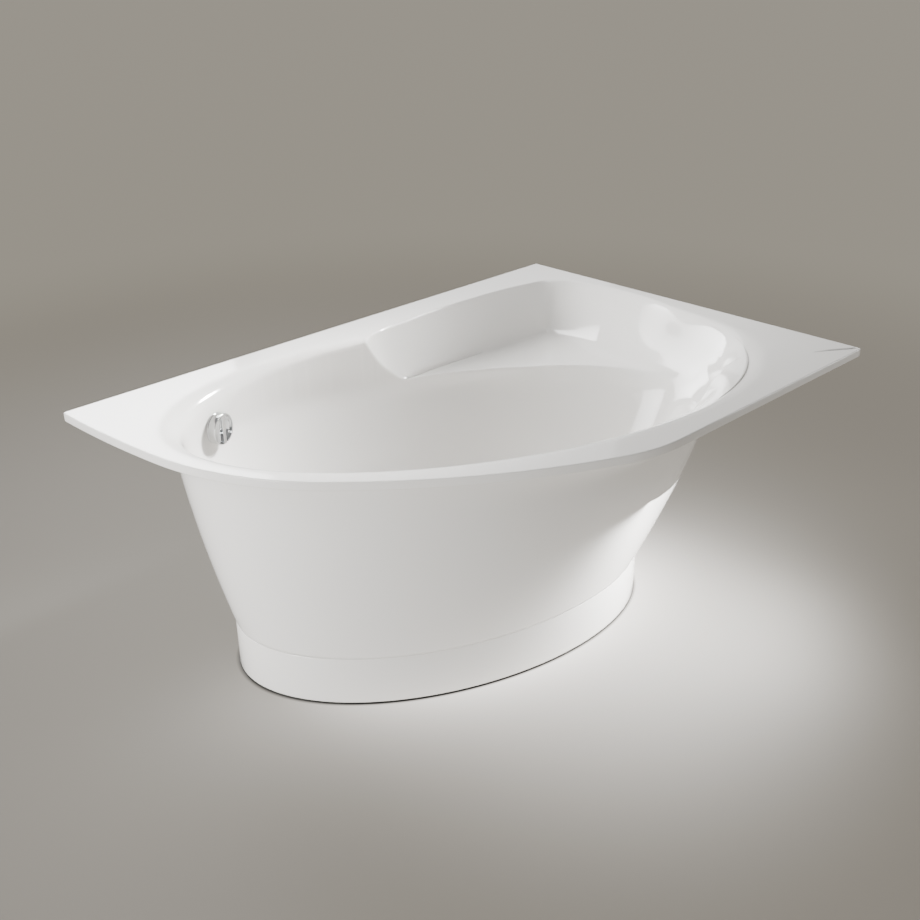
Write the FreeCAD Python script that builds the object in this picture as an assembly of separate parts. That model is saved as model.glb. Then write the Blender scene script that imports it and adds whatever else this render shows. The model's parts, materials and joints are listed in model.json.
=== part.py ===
import FreeCAD, Part

import math
import os

V = FreeCAD.Vector

# Corner bathtub, millimetres, +Z up. The origin is on the floor under the middle of the rim.
# The long wall of the room lies along y = +WIDTH / 2, the short wall along x = +LENGTH / 2.

# ---------------------------------------------------------------- overall sizes
LENGTH = 1600.0            # rim along the long wall
WIDTH = 1080.0             # rim along the short wall
HEIGHT = 600.0             # rim top above the floor
FLOOR_LIFT = 150.0         # upper side of the tub's floor above the room's floor
WALL = 5.0                 # reinforced acrylic wall of the tub
RIM_EDGE = 20.0            # height of the turned-down rim edge
GAP = 0.3                  # clearance between curved faces that lie on each other

# ---------------------------------------------------------------- rim outline, foot corner to head corner
FOOT_TURN = 8.0            # degrees turned by the slack bend beside the foot corner
FOOT_RADIUS = 2430.0
NOSE_TURN = 36.0           # degrees turned by the tight bend of the rounded foot end
NOSE_RADIUS = 600.0
FRONT_TURN = 22.0          # degrees turned by the long front bend
FRONT_RADIUS = 1600.0
STRAIGHT_FALL = 1.8        # the straight front run falls this many degrees towards the head corner

# ---------------------------------------------------------------- basin, ovals from the rim down
# each oval: depth under the rim, how much its half length and half width fall short of the rim's,
# middle x, middle y, turn in degrees
DEPTH = HEIGHT - FLOOR_LIFT
MOUTH = (0.0, 59.0, 142.0, -29.0, -1.0, -22.4)
ROLL = (9.0, 86.0, 156.0, -34.0, 1.0, -22.0)
SHOULDER = (30.0, 120.0, 167.0, -46.0, 12.0, -21.0)
UPPER = (80.0, 140.0, 171.0, -56.0, 26.0, -19.6)
SEAT = (130.0, 155.0, 175.0, -63.0, 34.0, -18.8)
MIDDLE = (DEPTH - 200.0, 200.0, 209.0, -80.0, 30.0, -18.5)
LOWER = (DEPTH - 100.0, 248.0, 247.0, -98.0, 24.0, -18.3)
BEND = (DEPTH - 35.0, 308.0, 299.0, -110.0, 20.0, -18.2)
FLOOR = (DEPTH, 400.0, 380.0, -120.0, 18.0, -18.0)
BASIN = (MOUTH, ROLL, SHOULDER, UPPER, SEAT, MIDDLE, LOWER, BEND, FLOOR)

# ---------------------------------------------------------------- corner seat, a pocket open to the basin
# points in plan, as distances from the short wall and from the long wall
SEAT_TOP = ((875.0, 145.0), (546.0, 93.0), (110.0, 136.0), (48.0, 380.0), (160.0, 805.0))
SEAT_BASE = ((750.0, 160.0), (470.0, 162.0), (166.0, 196.0), (152.0, 440.0), (244.0, 690.0))
SEAT_INSIDE = (650.0, 540.0)  # where the pocket's plan closes, inside the basin

# ---------------------------------------------------------------- outer panel and plinth
PANEL_WALL = 4.0
PANEL_TOP_DROP = 9.0       # the panel's upper edge stays this far under the rim top
PANEL_CLEAR = 1.5          # the panel is trimmed this far from the tub where the roll passes over it
PLINTH_OVAL = (269.0, 229.0, -133.0, 16.0, -18.2)   # short of the rim along and across, middle x, y, turn
PANEL_OVAL = (88.0, 95.0, -20.0, 55.0, -16.0)       # the panel's flare carried up to the rim
LIP_OVAL = (-20.0, -15.0, 30.0, -28.0, 0.0)         # what the lip changes of that at the rim
PLINTH_LIFT = 4.0          # shadow gap under the plinth
FLARE = 0.45               # how much faster the panel flares at its foot than at its top
LIP_DROP = 120.0           # the lip starts this far under the rim top
PANEL_END_FOOT = 146.0     # the panel runs round the front between these two directions
PANEL_END_HEAD = -14.0
PANEL_STEPS = 9            # ovals that the panel is drawn through
FLANGE = 20.0              # inward flanges where the panel stands on the plinth
PANEL_SCREW_R = 2.5
PANEL_SCREW_DIRECTIONS = (175.0, 215.0, 270.0, 330.0)  # on the plinth's oval, beside those in the brackets

# ---------------------------------------------------------------- base board and foot rails
BOARD_THICK = 19.0
BOARD_END_INSET = 40.0     # the board's oval stays this far inside the tub's floor
BOARD_SIDE_INSET = 20.0
BOARD_CLEAR = 75.0         # the board ends straight this far from the drain's axis
FOOT_RAIL_INSET = 210.0    # rails this far from the ends of the tub's floor
HEAD_RAIL_INSET = 160.0
RAIL_INSET = 89.0          # rail ends this far inside the plinth's oval, across the tub
RAIL_WIDTH = 40.0
RAIL_HIGH = 24.0
RAIL_WALL = 2.5
STUD_R = 5.0
STUD_INSET = 27.0          # studs this far from the ends of the rails
STUD_ABOVE = 14.0          # stud above the rail
NUT_FLATS = 17.0
NUT_HIGH = 8.0
HOLE_PLAY = 0.4
PAD_R = 25.0
PAD_HIGH = 24.0
PAD_EDGE = 6.0             # height of the pad's upright edge
PAD_NECK_R = 10.0
PAD_SOCKET = 10.0          # the stud's foot above the floor, in the pad
BRACKET_WIDTH = 30.0
BRACKET_THICK = 3.0
BRACKET_LAP = 60.0         # bracket on top of the rail's end

# ---------------------------------------------------------------- rim stiffeners and wall brackets
STRIP_WIDE = 30.0
STRIP_HIGH = 18.0
STRIP_END = 100.0          # strips end this far from the rim's corners
ANGLE_LEG = 40.0
ANGLE_THICK = 3.0
ANGLE_LONG = 60.0
LONG_ANGLE_INSET = 320.0   # angles on the long wall, from the rim's corners
SHORT_ANGLE = 60.0         # angle on the short wall, from its middle

# ---------------------------------------------------------------- panel clips
CLIP_DIRECTIONS = (224.0, 235.0, 246.0, 257.0)
CLIP_WIDE = 30.0
CLIP_THICK = 5.0
CLIP_HIGH = 17.0
CLIP_PLAY = 0.9

# ---------------------------------------------------------------- overflow
OVERFLOW_DROP = 90.0       # overflow axis under the rim top
OVERFLOW_ANGLE = 146.0     # its place on the basin's oval, in degrees of the oval
OVERFLOW_HOLE_R = 26.0
ROSETTE_R = 37.0
ROSETTE_THICK = 5.0
ROSETTE_BASE = 2.7         # the rosette stands off the curved wall on its soft seal
ROSETTE_SEAL_IN = 3.0      # the seal ends this far inside the rosette's edge
KNOB_R = 37.5
KNOB_DEPTH = 19.0
KNOB_GRIP = 10.0           # width of the grip bar across the knob's face
KNOB_HOLLOW = 9.0          # depth of the two hollows beside the grip
KNOB_EDGE = 3.0            # wall left round the hollows
SPINDLE_R = 4.0
RUN_PLAY = 0.05            # running fit of the spindle and of the plug's stem
OVERFLOW_BODY_R = 33.0
OVERFLOW_BODY_LONG = 42.0
OVERFLOW_BODY_END = 12.0   # thick end of the drum, where the spindle's bore is
SEAL_THICK = 3.0
SEAL_SAG = 1.0             # what the curved wall takes of the back seal
SPIGOT_R = 14.0            # spigots that the overflow pipe is pushed onto
SPIGOT_LONG = 24.0
ELBOW_WALL = 1.5
ELBOW_PUSH = 14.0          # overlap of the pipe and its spigots
ELBOW_DROP = 66.0          # the upper spigot ends this far under the overflow's axis
ELBOW_BEND = 70.0          # bend radius of the pipe's axis

# ---------------------------------------------------------------- drain and plug
DRAIN_INSET = 100.0        # drain on the long axis, from the foot end of the tub's floor
DRAIN_HOLE_R = 26.0
DRAIN_RIM_R = 35.0
DRAIN_RIM_HIGH = 3.0
DRAIN_SEAT = 1.0           # the plug's seal lies this far above the tub's floor
THROAT_R = 20.0
THROAT_WALL = 3.0
THROAT_LONG = 32.0
CUP_R = 31.0
PLUG_R = 29.5
PLUG_THICK = 4.0
PLUG_LIFT = 10.0
PLUG_SEAL = 1.5
PLUG_SEAL_IN = 3.0         # the seal ends this far inside the flange's dish
STEM_R = 4.0
STEM_BELOW = 3.0           # stem standing out under the throat

# ---------------------------------------------------------------- waste body, lever and trap
WASTE_R = 37.0
WASTE_WALL = 3.0
WASTE_HIGH = 50.0
WASTE_INLET_DROP = 38.0    # axis of the waste body's spigot under the tub's floor
OUTLET_R = 20.0
OUTLET_LONG = 30.0
LEVER_LONG = 24.0
LEVER_WIDE = 6.0
LEVER_THICK = 4.0
LEVER_PIN_R = 2.0
LEVER_PIN_LONG = 40.0
TRAP_R = 40.0
TRAP_HIGH = 54.0
TRAP_DROP = 82.0           # top of the trap's cup under the tub's floor
NECK_R = 24.0
NECK_HIGH = 12.0
TRAP_NUT_R = 31.0
TRAP_NUT_HIGH = 11.0
TRAP_NUT_RIBS = 12
TRAP_NUT_RIB_R = 2.0
TRAP_NUT_PLAY = 1.0        # nut above the trap's cup
PIPE_R = 25.0
PIPE_WALL = 2.0
PIPE_LONG = 240.0
PIPE_DROP = 108.0          # axis of the outlet pipe under the tub's floor

RIM_UNDER = HEIGHT - WALL
FLOOR_TOP = HEIGHT - DEPTH
FLOOR_UNDER = FLOOR_TOP - WALL
BOARD_UNDER = FLOOR_UNDER - BOARD_THICK
PLINTH_TOP = BOARD_UNDER - PANEL_WALL
PANEL_TOP = HEIGHT - PANEL_TOP_DROP
FLOOR_HALF_LONG = LENGTH / 2 - FLOOR[1]
FLOOR_HALF_WIDE = WIDTH / 2 - FLOOR[2]
RAIL_POSITIONS = (FOOT_RAIL_INSET - FLOOR_HALF_LONG, FLOOR_HALF_LONG - HEAD_RAIL_INSET)
RAIL_HALF = WIDTH / 2 - PLINTH_OVAL[1] - RAIL_INSET
STUD_SPREAD = RAIL_HALF - STUD_INSET
DRAIN_ALONG = DRAIN_INSET - FLOOR_HALF_LONG
TRAP_TOP = FLOOR_TOP - TRAP_DROP
TRAP_FLOOR = TRAP_TOP - TRAP_HIGH
PIPE_Z = FLOOR_TOP - PIPE_DROP
UP = V(0, 0, 1)


def plan(angle):
    """Unit vector in plan at an angle in degrees."""
    turn = math.radians(angle)
    return V(math.cos(turn), math.sin(turn), 0)


def fitted(short_long, short_wide, x, y, turn):
    """An oval that falls short of the rim by given amounts, as half length, half width, middle and turn."""
    return LENGTH / 2 - short_long, WIDTH / 2 - short_wide, x, y, turn


def oval_point(half_long, half_wide, x, y, turn, angle, z):
    along = plan(turn) * (half_long * math.cos(math.radians(angle)))
    across = plan(turn + 90) * (half_wide * math.sin(math.radians(angle)))
    return V(x, y, z) + along + across


def oval(half_long, half_wide, x, y, turn, z):
    """Closed oval wire, its long axis turned in plan."""
    curve = Part.Ellipse(V(0, 0, 0), half_long, half_wide)
    edge = curve.toShape()
    edge.rotate(V(0, 0, 0), UP, turn)
    edge.translate(V(x, y, z))
    return Part.Wire([edge])


def prism(points, z, high):
    corners = [V(p[0], p[1], z) for p in points]
    face = Part.Face(Part.makePolygon(corners + [corners[0]]))
    return face.extrude(V(0, 0, high))


def tube(r_out, r_in, high, base, axis=UP):
    return Part.makeCylinder(r_out, high, base, axis).cut(Part.makeCylinder(r_in, high, base, axis))


def hexagon(flats, high, base):
    """Hexagonal bar, its size given over the flats."""
    r = flats / math.sqrt(3)
    return prism([(base.x + r * plan(60 * i).x, base.y + r * plan(60 * i).y) for i in range(6)], base.z, high)


# ================================================================ tub shell
def rim_outline():
    """Corner points and arc middles of the rim, from the foot corner along the front to the head corner."""
    bends = ((FOOT_TURN, FOOT_RADIUS), (NOSE_TURN, NOSE_RADIUS), (FRONT_TURN, FRONT_RADIUS))
    point = V(-LENGTH / 2, WIDTH / 2, 0)
    heading = -90.0
    arcs = []
    for turn, radius in bends:
        centre = point + plan(heading + 90) * radius
        middle = centre + plan(heading - 90 + turn / 2) * radius
        end = centre + plan(heading - 90 + turn) * radius
        arcs.append((point, middle, end))
        point = end
        heading += turn
    # the last bend and the straight run are sized so that they end in the head corner
    last_turn = -STRAIGHT_FALL - heading
    corner = V(LENGTH / 2, -WIDTH / 2, 0)
    span = corner - point
    arc_way = plan(heading + last_turn - 90) - plan(heading - 90)
    run_way = plan(-STRAIGHT_FALL)
    det = arc_way.x * run_way.y - arc_way.y * run_way.x
    radius = (span.x * run_way.y - span.y * run_way.x) / det
    centre = point + plan(heading + 90) * radius
    middle = centre + plan(heading - 90 + last_turn / 2) * radius
    end = centre + plan(heading - 90 + last_turn) * radius
    arcs.append((point, middle, end))
    return arcs, corner


def rim_face(z):
    arcs, corner = rim_outline()
    lift = V(0, 0, z)
    edges = [Part.Arc(a + lift, m + lift, b + lift).toShape() for a, m, b in arcs]
    back = V(LENGTH / 2, WIDTH / 2, z)
    start = arcs[0][0] + lift
    edges.append(Part.LineSegment(arcs[-1][2] + lift, corner + lift).toShape())
    edges.append(Part.LineSegment(corner + lift, back).toShape())
    edges.append(Part.LineSegment(back, start).toShape())
    return Part.Face(Part.Wire(edges))


def basin_solid(grow, top):
    """The basin's oval bowl, grown outwards by a wall; its mouth is carried up to a height."""
    wires = []
    for drop, *row in BASIN:
        half_long, half_wide, x, y, turn = fitted(*row)
        z = HEIGHT - drop
        if drop == FLOOR[0]:
            z -= grow
        wires.append(oval(half_long + grow, half_wide + grow, x, y, turn, z))
    bowl = Part.makeLoft(wires, True, False)
    if top > HEIGHT:
        bowl = bowl.fuse(Part.Face(wires[0]).extrude(V(0, 0, top - HEIGHT)))
    return bowl


def seat_wire(points, z, grow):
    """Plan of the seat pocket: back wall, side wall and two lines that close inside the basin."""
    away = [(0, 1), (0, 1), (1, 1), (1, 0), (1, 0)]
    corner = V(LENGTH / 2, WIDTH / 2, z)
    p = [corner - V(x - grow * ax, y - grow * ay, 0) for (x, y), (ax, ay) in zip(points, away)]
    inside = corner - V(SEAT_INSIDE[0], SEAT_INSIDE[1], 0)
    back = Part.Arc(p[0], p[1], p[2]).toShape()
    side = Part.Arc(p[2], p[3], p[4]).toShape()
    close_a = Part.LineSegment(p[4], inside).toShape()
    close_b = Part.LineSegment(inside, p[0]).toShape()
    return Part.Wire([back, side, close_a, close_b])


def seat_solid(grow, top):
    seat_z = HEIGHT - SEAT[0] - grow
    wires = [seat_wire(SEAT_BASE, seat_z, grow), seat_wire(SEAT_TOP, HEIGHT, grow)]
    pocket = Part.makeLoft(wires, True, True)
    if top > HEIGHT:
        pocket = pocket.fuse(Part.Face(seat_wire(SEAT_TOP, HEIGHT, grow)).extrude(V(0, 0, top - HEIGHT)))
    return pocket


def tub_shell():
    """Acrylic vessel: flat rim with a turned-down edge, oval basin and corner seat in one wall."""
    rim = rim_face(HEIGHT - RIM_EDGE).extrude(V(0, 0, RIM_EDGE))
    hollow = rim_face(HEIGHT - RIM_EDGE)
    hollow = hollow.makeOffset2D(-WALL)
    hollow = hollow.extrude(V(0, 0, RIM_EDGE - WALL))
    rim = rim.cut(hollow)
    outside = rim.fuse([basin_solid(WALL, HEIGHT), seat_solid(WALL, HEIGHT)])
    inside = basin_solid(0.0, HEIGHT + WALL).fuse(seat_solid(0.0, HEIGHT + WALL))
    shell = outside.cut(inside)
    place, outward = OVERFLOW
    shell = shell.cut(Part.makeCylinder(OVERFLOW_HOLE_R, 12 * WALL, place - outward * 6 * WALL, outward))
    drain = drain_centre()
    shell = shell.cut(Part.makeCylinder(DRAIN_HOLE_R, 4 * WALL, drain - UP * 2 * WALL))
    return shell


# ================================================================ outer panel and plinth
def panel_oval(z, grow=0.0):
    """The panel's oval at a height: the plinth's oval at its foot, flaring towards the rim."""
    share = (z - PLINTH_TOP) / (HEIGHT - WALL - PLINTH_TOP)
    flare = share * (1 + FLARE - FLARE * share)
    lip = max(0.0, (z - HEIGHT + LIP_DROP) / (LIP_DROP - WALL)) ** 2
    rows = zip(PLINTH_OVAL, PANEL_OVAL, LIP_OVAL)
    a, b, x, y, turn = fitted(*[foot + flare * (head - foot) + lip * more for foot, head, more in rows])
    return a + grow, b + grow, x, y, turn


def front_sector(z, high):
    """Block that covers the panel's run round the front, between its two end directions."""
    reach = 2 * LENGTH
    sweep = 360.0 + PANEL_END_HEAD - PANEL_END_FOOT
    steps = [PANEL_END_FOOT + sweep * i / 4 for i in range(5)]
    centre = V(PLINTH_OVAL[2], PLINTH_OVAL[3], 0)
    points = [centre] + [centre + plan(angle) * reach for angle in steps]
    return prism([(p.x, p.y) for p in points], z, high)


def apron():
    """Oval bowl-shaped panel in one thin skin, flanged inwards where it stands on the plinth."""
    heights = [PLINTH_TOP + (PANEL_TOP - PLINTH_TOP) * i / PANEL_STEPS for i in range(PANEL_STEPS + 1)]
    outside = Part.makeLoft([oval(*panel_oval(z), z) for z in heights], True, False)
    inside = Part.makeLoft([oval(*panel_oval(z, -PANEL_WALL), z) for z in heights], True, False)
    skin = outside.cut(inside)
    a, b, x, y, turn = panel_oval(PLINTH_TOP)
    rim = PANEL_WALL + FLANGE
    flange = Part.Face(oval(a - PANEL_WALL / 2, b - PANEL_WALL / 2, x, y, turn, PLINTH_TOP))
    flange = flange.extrude(V(0, 0, PANEL_WALL))
    opening = Part.Face(oval(a - rim, b - rim, x, y, turn, PLINTH_TOP)).extrude(V(0, 0, PANEL_WALL))
    flange = flange.cut(opening)
    skin = skin.fuse(flange).common(front_sector(0, HEIGHT))
    skin = skin.cut(basin_solid(WALL + PANEL_CLEAR, HEIGHT))
    for hole in panel_screw_places():
        skin = skin.cut(Part.makeCylinder(PANEL_SCREW_R + HOLE_PLAY / 2, 2 * FLANGE, hole - UP * FLANGE))
    return skin


def plinth():
    """Upright oval plinth, flanged inwards at the top, clear of the floor by a shadow gap."""
    a, b, x, y, turn = fitted(*PLINTH_OVAL)
    high = PLINTH_TOP - PLINTH_LIFT
    rim = PANEL_WALL + FLANGE
    ring = Part.Face(oval(a, b, x, y, turn, PLINTH_LIFT)).extrude(V(0, 0, high))
    hollow = Part.Face(oval(a - PANEL_WALL, b - PANEL_WALL, x, y, turn, PLINTH_LIFT))
    ring = ring.cut(hollow.extrude(V(0, 0, high - PANEL_WALL)))
    ring = ring.cut(Part.Face(oval(a - rim, b - rim, x, y, turn, PLINTH_LIFT)).extrude(V(0, 0, high)))
    ring = ring.common(front_sector(0, HEIGHT))
    for hole in panel_screw_places():
        ring = ring.cut(Part.makeCylinder(PANEL_SCREW_R + HOLE_PLAY / 2, 2 * FLANGE, hole - UP * FLANGE))
    return ring


def tub_axes():
    """Middle of the tub's floor and its long and cross directions in plan."""
    return V(FLOOR[3], FLOOR[4], 0), plan(FLOOR[5]), plan(FLOOR[5] + 90)


def tub_point(along, across, z):
    middle, long_way, cross_way = tub_axes()
    return middle + long_way * along + cross_way * across + UP * z


def bar(along, across, z, half_along, half_across, high):
    """Upright-sided block, square to the tub's long axis."""
    corners = [(-1, -1), (1, -1), (1, 1), (-1, 1)]
    points = [tub_point(along + i * half_along, across + j * half_across, 0) for i, j in corners]
    return prism([(p.x, p.y) for p in points], z, high)


def bracket_reach(along):
    """How far to the front side the panel's flange lies beside a foot rail."""
    a, b, x, y, turn = fitted(*PLINTH_OVAL)
    inset = PANEL_WALL + FLANGE / 2
    offset = tub_point(along, 0, 0) - V(x, y, 0)
    on_long = offset.dot(plan(turn))
    on_cross = offset.dot(plan(turn + 90))
    half = (b - inset) * math.sqrt(1 - (on_long / (a - inset)) ** 2)
    return -half - on_cross


def panel_screw_places():
    """Screw places on the flanges: one on each bracket, and others round the front."""
    a, b, x, y, turn = fitted(*PLINTH_OVAL)
    inset = PANEL_WALL + FLANGE / 2
    places = [tub_point(along, bracket_reach(along), PLINTH_TOP) for along in RAIL_POSITIONS]
    for angle in PANEL_SCREW_DIRECTIONS:
        places.append(oval_point(a - inset, b - inset, x, y, turn, angle, PLINTH_TOP))
    return places


def panel_screws():
    screws = []
    for index, place in enumerate(panel_screw_places()):
        grip = 2 * PANEL_WALL + (BRACKET_THICK if index < len(RAIL_POSITIONS) else 0.0)
        head_base = place + UP * (grip - PANEL_WALL)
        shank = Part.makeCylinder(PANEL_SCREW_R, grip, head_base - UP * grip)
        head = Part.makeCylinder(2 * PANEL_SCREW_R, PANEL_SCREW_R, head_base)
        nut = Part.makeCylinder(2 * PANEL_SCREW_R, PANEL_SCREW_R, head_base - UP * (grip + PANEL_SCREW_R))
        screws.append(shank.fuse([head, nut]))
    return Part.Compound(screws)


def panel_brackets():
    bars = []
    for along in RAIL_POSITIONS:
        reach = bracket_reach(along) - FLANGE / 4
        inner = -RAIL_HALF + BRACKET_LAP
        middle = (reach + inner) / 2
        plate = bar(along, middle, BOARD_UNDER, BRACKET_WIDTH / 2, (inner - reach) / 2, BRACKET_THICK)
        hole = tub_point(along, bracket_reach(along), BOARD_UNDER - FLANGE)
        stud = tub_point(along, -STUD_SPREAD, BOARD_UNDER - FLANGE)
        plate = plate.cut(Part.makeCylinder(PANEL_SCREW_R + HOLE_PLAY / 2, 2 * FLANGE, hole))
        plate = plate.cut(Part.makeCylinder(STUD_R + HOLE_PLAY, 2 * FLANGE, stud))
        bars.append(plate)
    return Part.Compound(bars)


def panel_clips():
    """Blocks bonded under the rim, behind the panel's upper edge."""
    clips = []
    base = RIM_UNDER - CLIP_HIGH
    a, b, x, y, turn = panel_oval(base)
    for direction in CLIP_DIRECTIONS:
        angle = math.degrees(math.atan2(a * math.sin(math.radians(direction - turn)),
                                        b * math.cos(math.radians(direction - turn))))
        edge = oval_point(a, b, x, y, turn, angle, 0)
        ahead = oval_point(a, b, x, y, turn, angle + 1, 0)
        way = (ahead - edge).normalize()
        back = UP.cross(way)
        near = edge + back * (PANEL_WALL + CLIP_PLAY)
        far = near + back * CLIP_THICK
        half = way * (CLIP_WIDE / 2)
        corners = [near - half, near + half, far + half, far - half]
        clips.append(prism([(p.x, p.y) for p in corners], base, CLIP_HIGH))
    return Part.Compound(clips)


# ================================================================ underframe
def base_board():
    """Board bonded under the tub's floor, ending straight before the drain."""
    half_long = FLOOR_HALF_LONG - BOARD_END_INSET
    half_wide = FLOOR_HALF_WIDE - BOARD_SIDE_INSET
    board = Part.Face(oval(half_long, half_wide, *FLOOR[3:], BOARD_UNDER)).extrude(V(0, 0, BOARD_THICK))
    return board.cut(bar(DRAIN_ALONG + BOARD_CLEAR - half_long, 0, 0, half_long, LENGTH, HEIGHT))


def foot_rail(along):
    """Steel channel, open below, bored for a foot stud near each end."""
    base = BOARD_UNDER - RAIL_HIGH
    rail = bar(along, 0, base, RAIL_WIDTH / 2, RAIL_HALF, RAIL_HIGH)
    rail = rail.cut(bar(along, 0, base, RAIL_WIDTH / 2 - RAIL_WALL, RAIL_HALF, RAIL_HIGH - RAIL_WALL))
    for across in (-STUD_SPREAD, STUD_SPREAD):
        hole = tub_point(along, across, base)
        rail = rail.cut(Part.makeCylinder(STUD_R + HOLE_PLAY, RAIL_HIGH, hole))
    return rail


def stud_places():
    return [(along, across) for along in RAIL_POSITIONS for across in (-STUD_SPREAD, STUD_SPREAD)]


def foot_studs():
    high = BOARD_UNDER + STUD_ABOVE - PAD_SOCKET
    return [Part.makeCylinder(STUD_R, high, tub_point(a, c, PAD_SOCKET)) for a, c in stud_places()]


def foot_nuts():
    """Two nuts on each stud: one on the rail, or on the panel bracket there, one under its web."""
    nuts = []
    for along, across in stud_places():
        above = BOARD_UNDER + (BRACKET_THICK if across < 0 else 0.0)
        for z in (above, BOARD_UNDER - RAIL_WALL - NUT_HIGH):
            base = tub_point(along, across, z)
            bore = Part.makeCylinder(STUD_R + RUN_PLAY, NUT_HIGH, base)
            nuts.append(hexagon(NUT_FLATS, NUT_HIGH, base).cut(bore))
    return Part.Compound(nuts)


def foot_pad(along, across):
    """Round plastic foot with a socket for the stud."""
    profile = [(0, 0), (PAD_R, 0), (PAD_R, PAD_EDGE), (PAD_NECK_R, PAD_HIGH), (STUD_R + RUN_PLAY, PAD_HIGH),
               (STUD_R + RUN_PLAY, PAD_SOCKET), (0, PAD_SOCKET)]
    points = [V(r, 0, z) for r, z in profile]
    pad = Part.Face(Part.makePolygon(points + [points[0]])).revolve(V(0, 0, 0), UP, 360)
    pad.translate(tub_point(along, across, 0))
    return pad


# ================================================================ rim stiffeners and wall brackets
def rim_strip_long():
    start = V(STRIP_END - LENGTH / 2, WIDTH / 2 - WALL - STRIP_WIDE, RIM_UNDER - STRIP_HIGH)
    return Part.makeBox(LENGTH - 2 * STRIP_END, STRIP_WIDE, STRIP_HIGH, start)


def rim_strip_short():
    start = V(LENGTH / 2 - WALL - STRIP_WIDE, STRIP_END - WIDTH / 2, RIM_UNDER - STRIP_HIGH)
    return Part.makeBox(STRIP_WIDE, WIDTH - 2 * STRIP_END, STRIP_HIGH, start)


def wall_angles():
    """Angle brackets on the walls, carrying the rim through its stiffeners."""
    top = RIM_UNDER - STRIP_HIGH
    inset = WALL + ANGLE_LEG
    angles = []
    for x in (LONG_ANGLE_INSET - LENGTH / 2, LENGTH / 2 - LONG_ANGLE_INSET):
        start = V(x - ANGLE_LONG / 2, WIDTH / 2, top)
        shelf = Part.makeBox(ANGLE_LONG, inset, ANGLE_THICK, start - V(0, inset, ANGLE_THICK))
        leg = Part.makeBox(ANGLE_LONG, ANGLE_THICK, inset, start - V(0, ANGLE_THICK, inset))
        angles.append(shelf.fuse(leg))
    start = V(LENGTH / 2, SHORT_ANGLE - ANGLE_LONG / 2, top)
    shelf = Part.makeBox(inset, ANGLE_LONG, ANGLE_THICK, start - V(inset, 0, ANGLE_THICK))
    leg = Part.makeBox(ANGLE_THICK, ANGLE_LONG, inset, start - V(ANGLE_THICK, 0, inset))
    angles.append(shelf.fuse(leg))
    return Part.Compound(angles)


# ================================================================ overflow
def overflow_place():
    """Where the overflow's axis meets the basin wall, and the wall's outward direction there."""
    z = HEIGHT - OVERFLOW_DROP
    bowl = basin_solid(0.0, HEIGHT)
    start = V(SEAT[3], SEAT[4], z)
    aim = oval_point(*fitted(*SEAT[1:]), OVERFLOW_ANGLE, z)
    inside = Part.LineSegment(start, start + (aim - start) * 2).toShape().common(bowl)
    place = max((v.Point for v in inside.Vertexes), key=lambda p: (p - start).Length)
    wall = min(bowl.Faces, key=lambda f: f.distToShape(Part.Vertex(place))[0])
    u, v = wall.Surface.parameter(place)
    outward = wall.normalAt(u, v)
    if outward.dot(aim - start) < 0:
        outward = -outward
    return place, outward


OVERFLOW = overflow_place()


def set_on_wall(shape):
    """Place a shape drawn along +Z, base at the wall, +Z into the basin and +Y up the wall."""
    place, outward = OVERFLOW
    inward = -outward
    up = (UP - inward * UP.dot(inward)).normalize()
    turn = FreeCAD.Rotation(up.cross(inward), up, inward, "ZYX")
    moved = shape.copy()
    moved.Placement = FreeCAD.Placement(place, turn).multiply(moved.Placement)
    return moved


def overflow_rosette():
    ring = tube(ROSETTE_R, SPINDLE_R + SEAL_SAG, ROSETTE_THICK, UP * ROSETTE_BASE)
    outer = [e for e in ring.Edges if abs(e.BoundBox.ZMin - ROSETTE_BASE - ROSETTE_THICK) < GAP]
    outer = [e for e in outer if e.BoundBox.XLength > ROSETTE_R]
    return set_on_wall(ring.makeFillet(ROSETTE_THICK / 3, outer))


def overflow_front_seal(shell):
    ring = set_on_wall(tube(ROSETTE_R - ROSETTE_SEAL_IN, OVERFLOW_HOLE_R, ROSETTE_BASE, UP * 0))
    outward = OVERFLOW[1]
    skin = shell.copy()
    skin.translate(-outward * GAP)
    return ring.cut(skin)


def overflow_back_seal(shell):
    thick = WALL + SEAL_THICK + SEAL_SAG
    ring = set_on_wall(tube(OVERFLOW_BODY_R, OVERFLOW_HOLE_R, thick, UP * -thick))
    outward = OVERFLOW[1]
    skin = shell.copy()
    skin.translate(outward * GAP)
    solids = ring.cut(skin).Solids
    place = OVERFLOW[0]
    return max(solids, key=lambda s: (s.CenterOfMass - place).dot(outward))


def overflow_knob():
    """Round knob with a grip bar across its face, between two half-moon hollows."""
    base = ROSETTE_BASE + ROSETTE_THICK + GAP
    knob = Part.makeCylinder(KNOB_R, KNOB_DEPTH, UP * base)
    top = base + KNOB_DEPTH
    hollow = Part.makeCylinder(KNOB_R - KNOB_EDGE, KNOB_HOLLOW, UP * (top - KNOB_HOLLOW))
    grip = Part.makeBox(KNOB_GRIP, 2 * KNOB_R, KNOB_HOLLOW, V(-KNOB_GRIP / 2, -KNOB_R, top - KNOB_HOLLOW))
    knob = knob.cut(hollow.cut(grip))
    knob = knob.cut(Part.makeCylinder(SPINDLE_R, KNOB_DEPTH - KNOB_HOLLOW, UP * base))
    return set_on_wall(knob)


def overflow_spindle():
    back = WALL + SEAL_THICK + OVERFLOW_BODY_LONG / 2
    front = ROSETTE_BASE + ROSETTE_THICK + GAP + KNOB_DEPTH - KNOB_HOLLOW
    return set_on_wall(Part.makeCylinder(SPINDLE_R, back + front, UP * -back))


def overflow_axis_back(depth):
    place, outward = OVERFLOW
    return place + outward * depth


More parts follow.
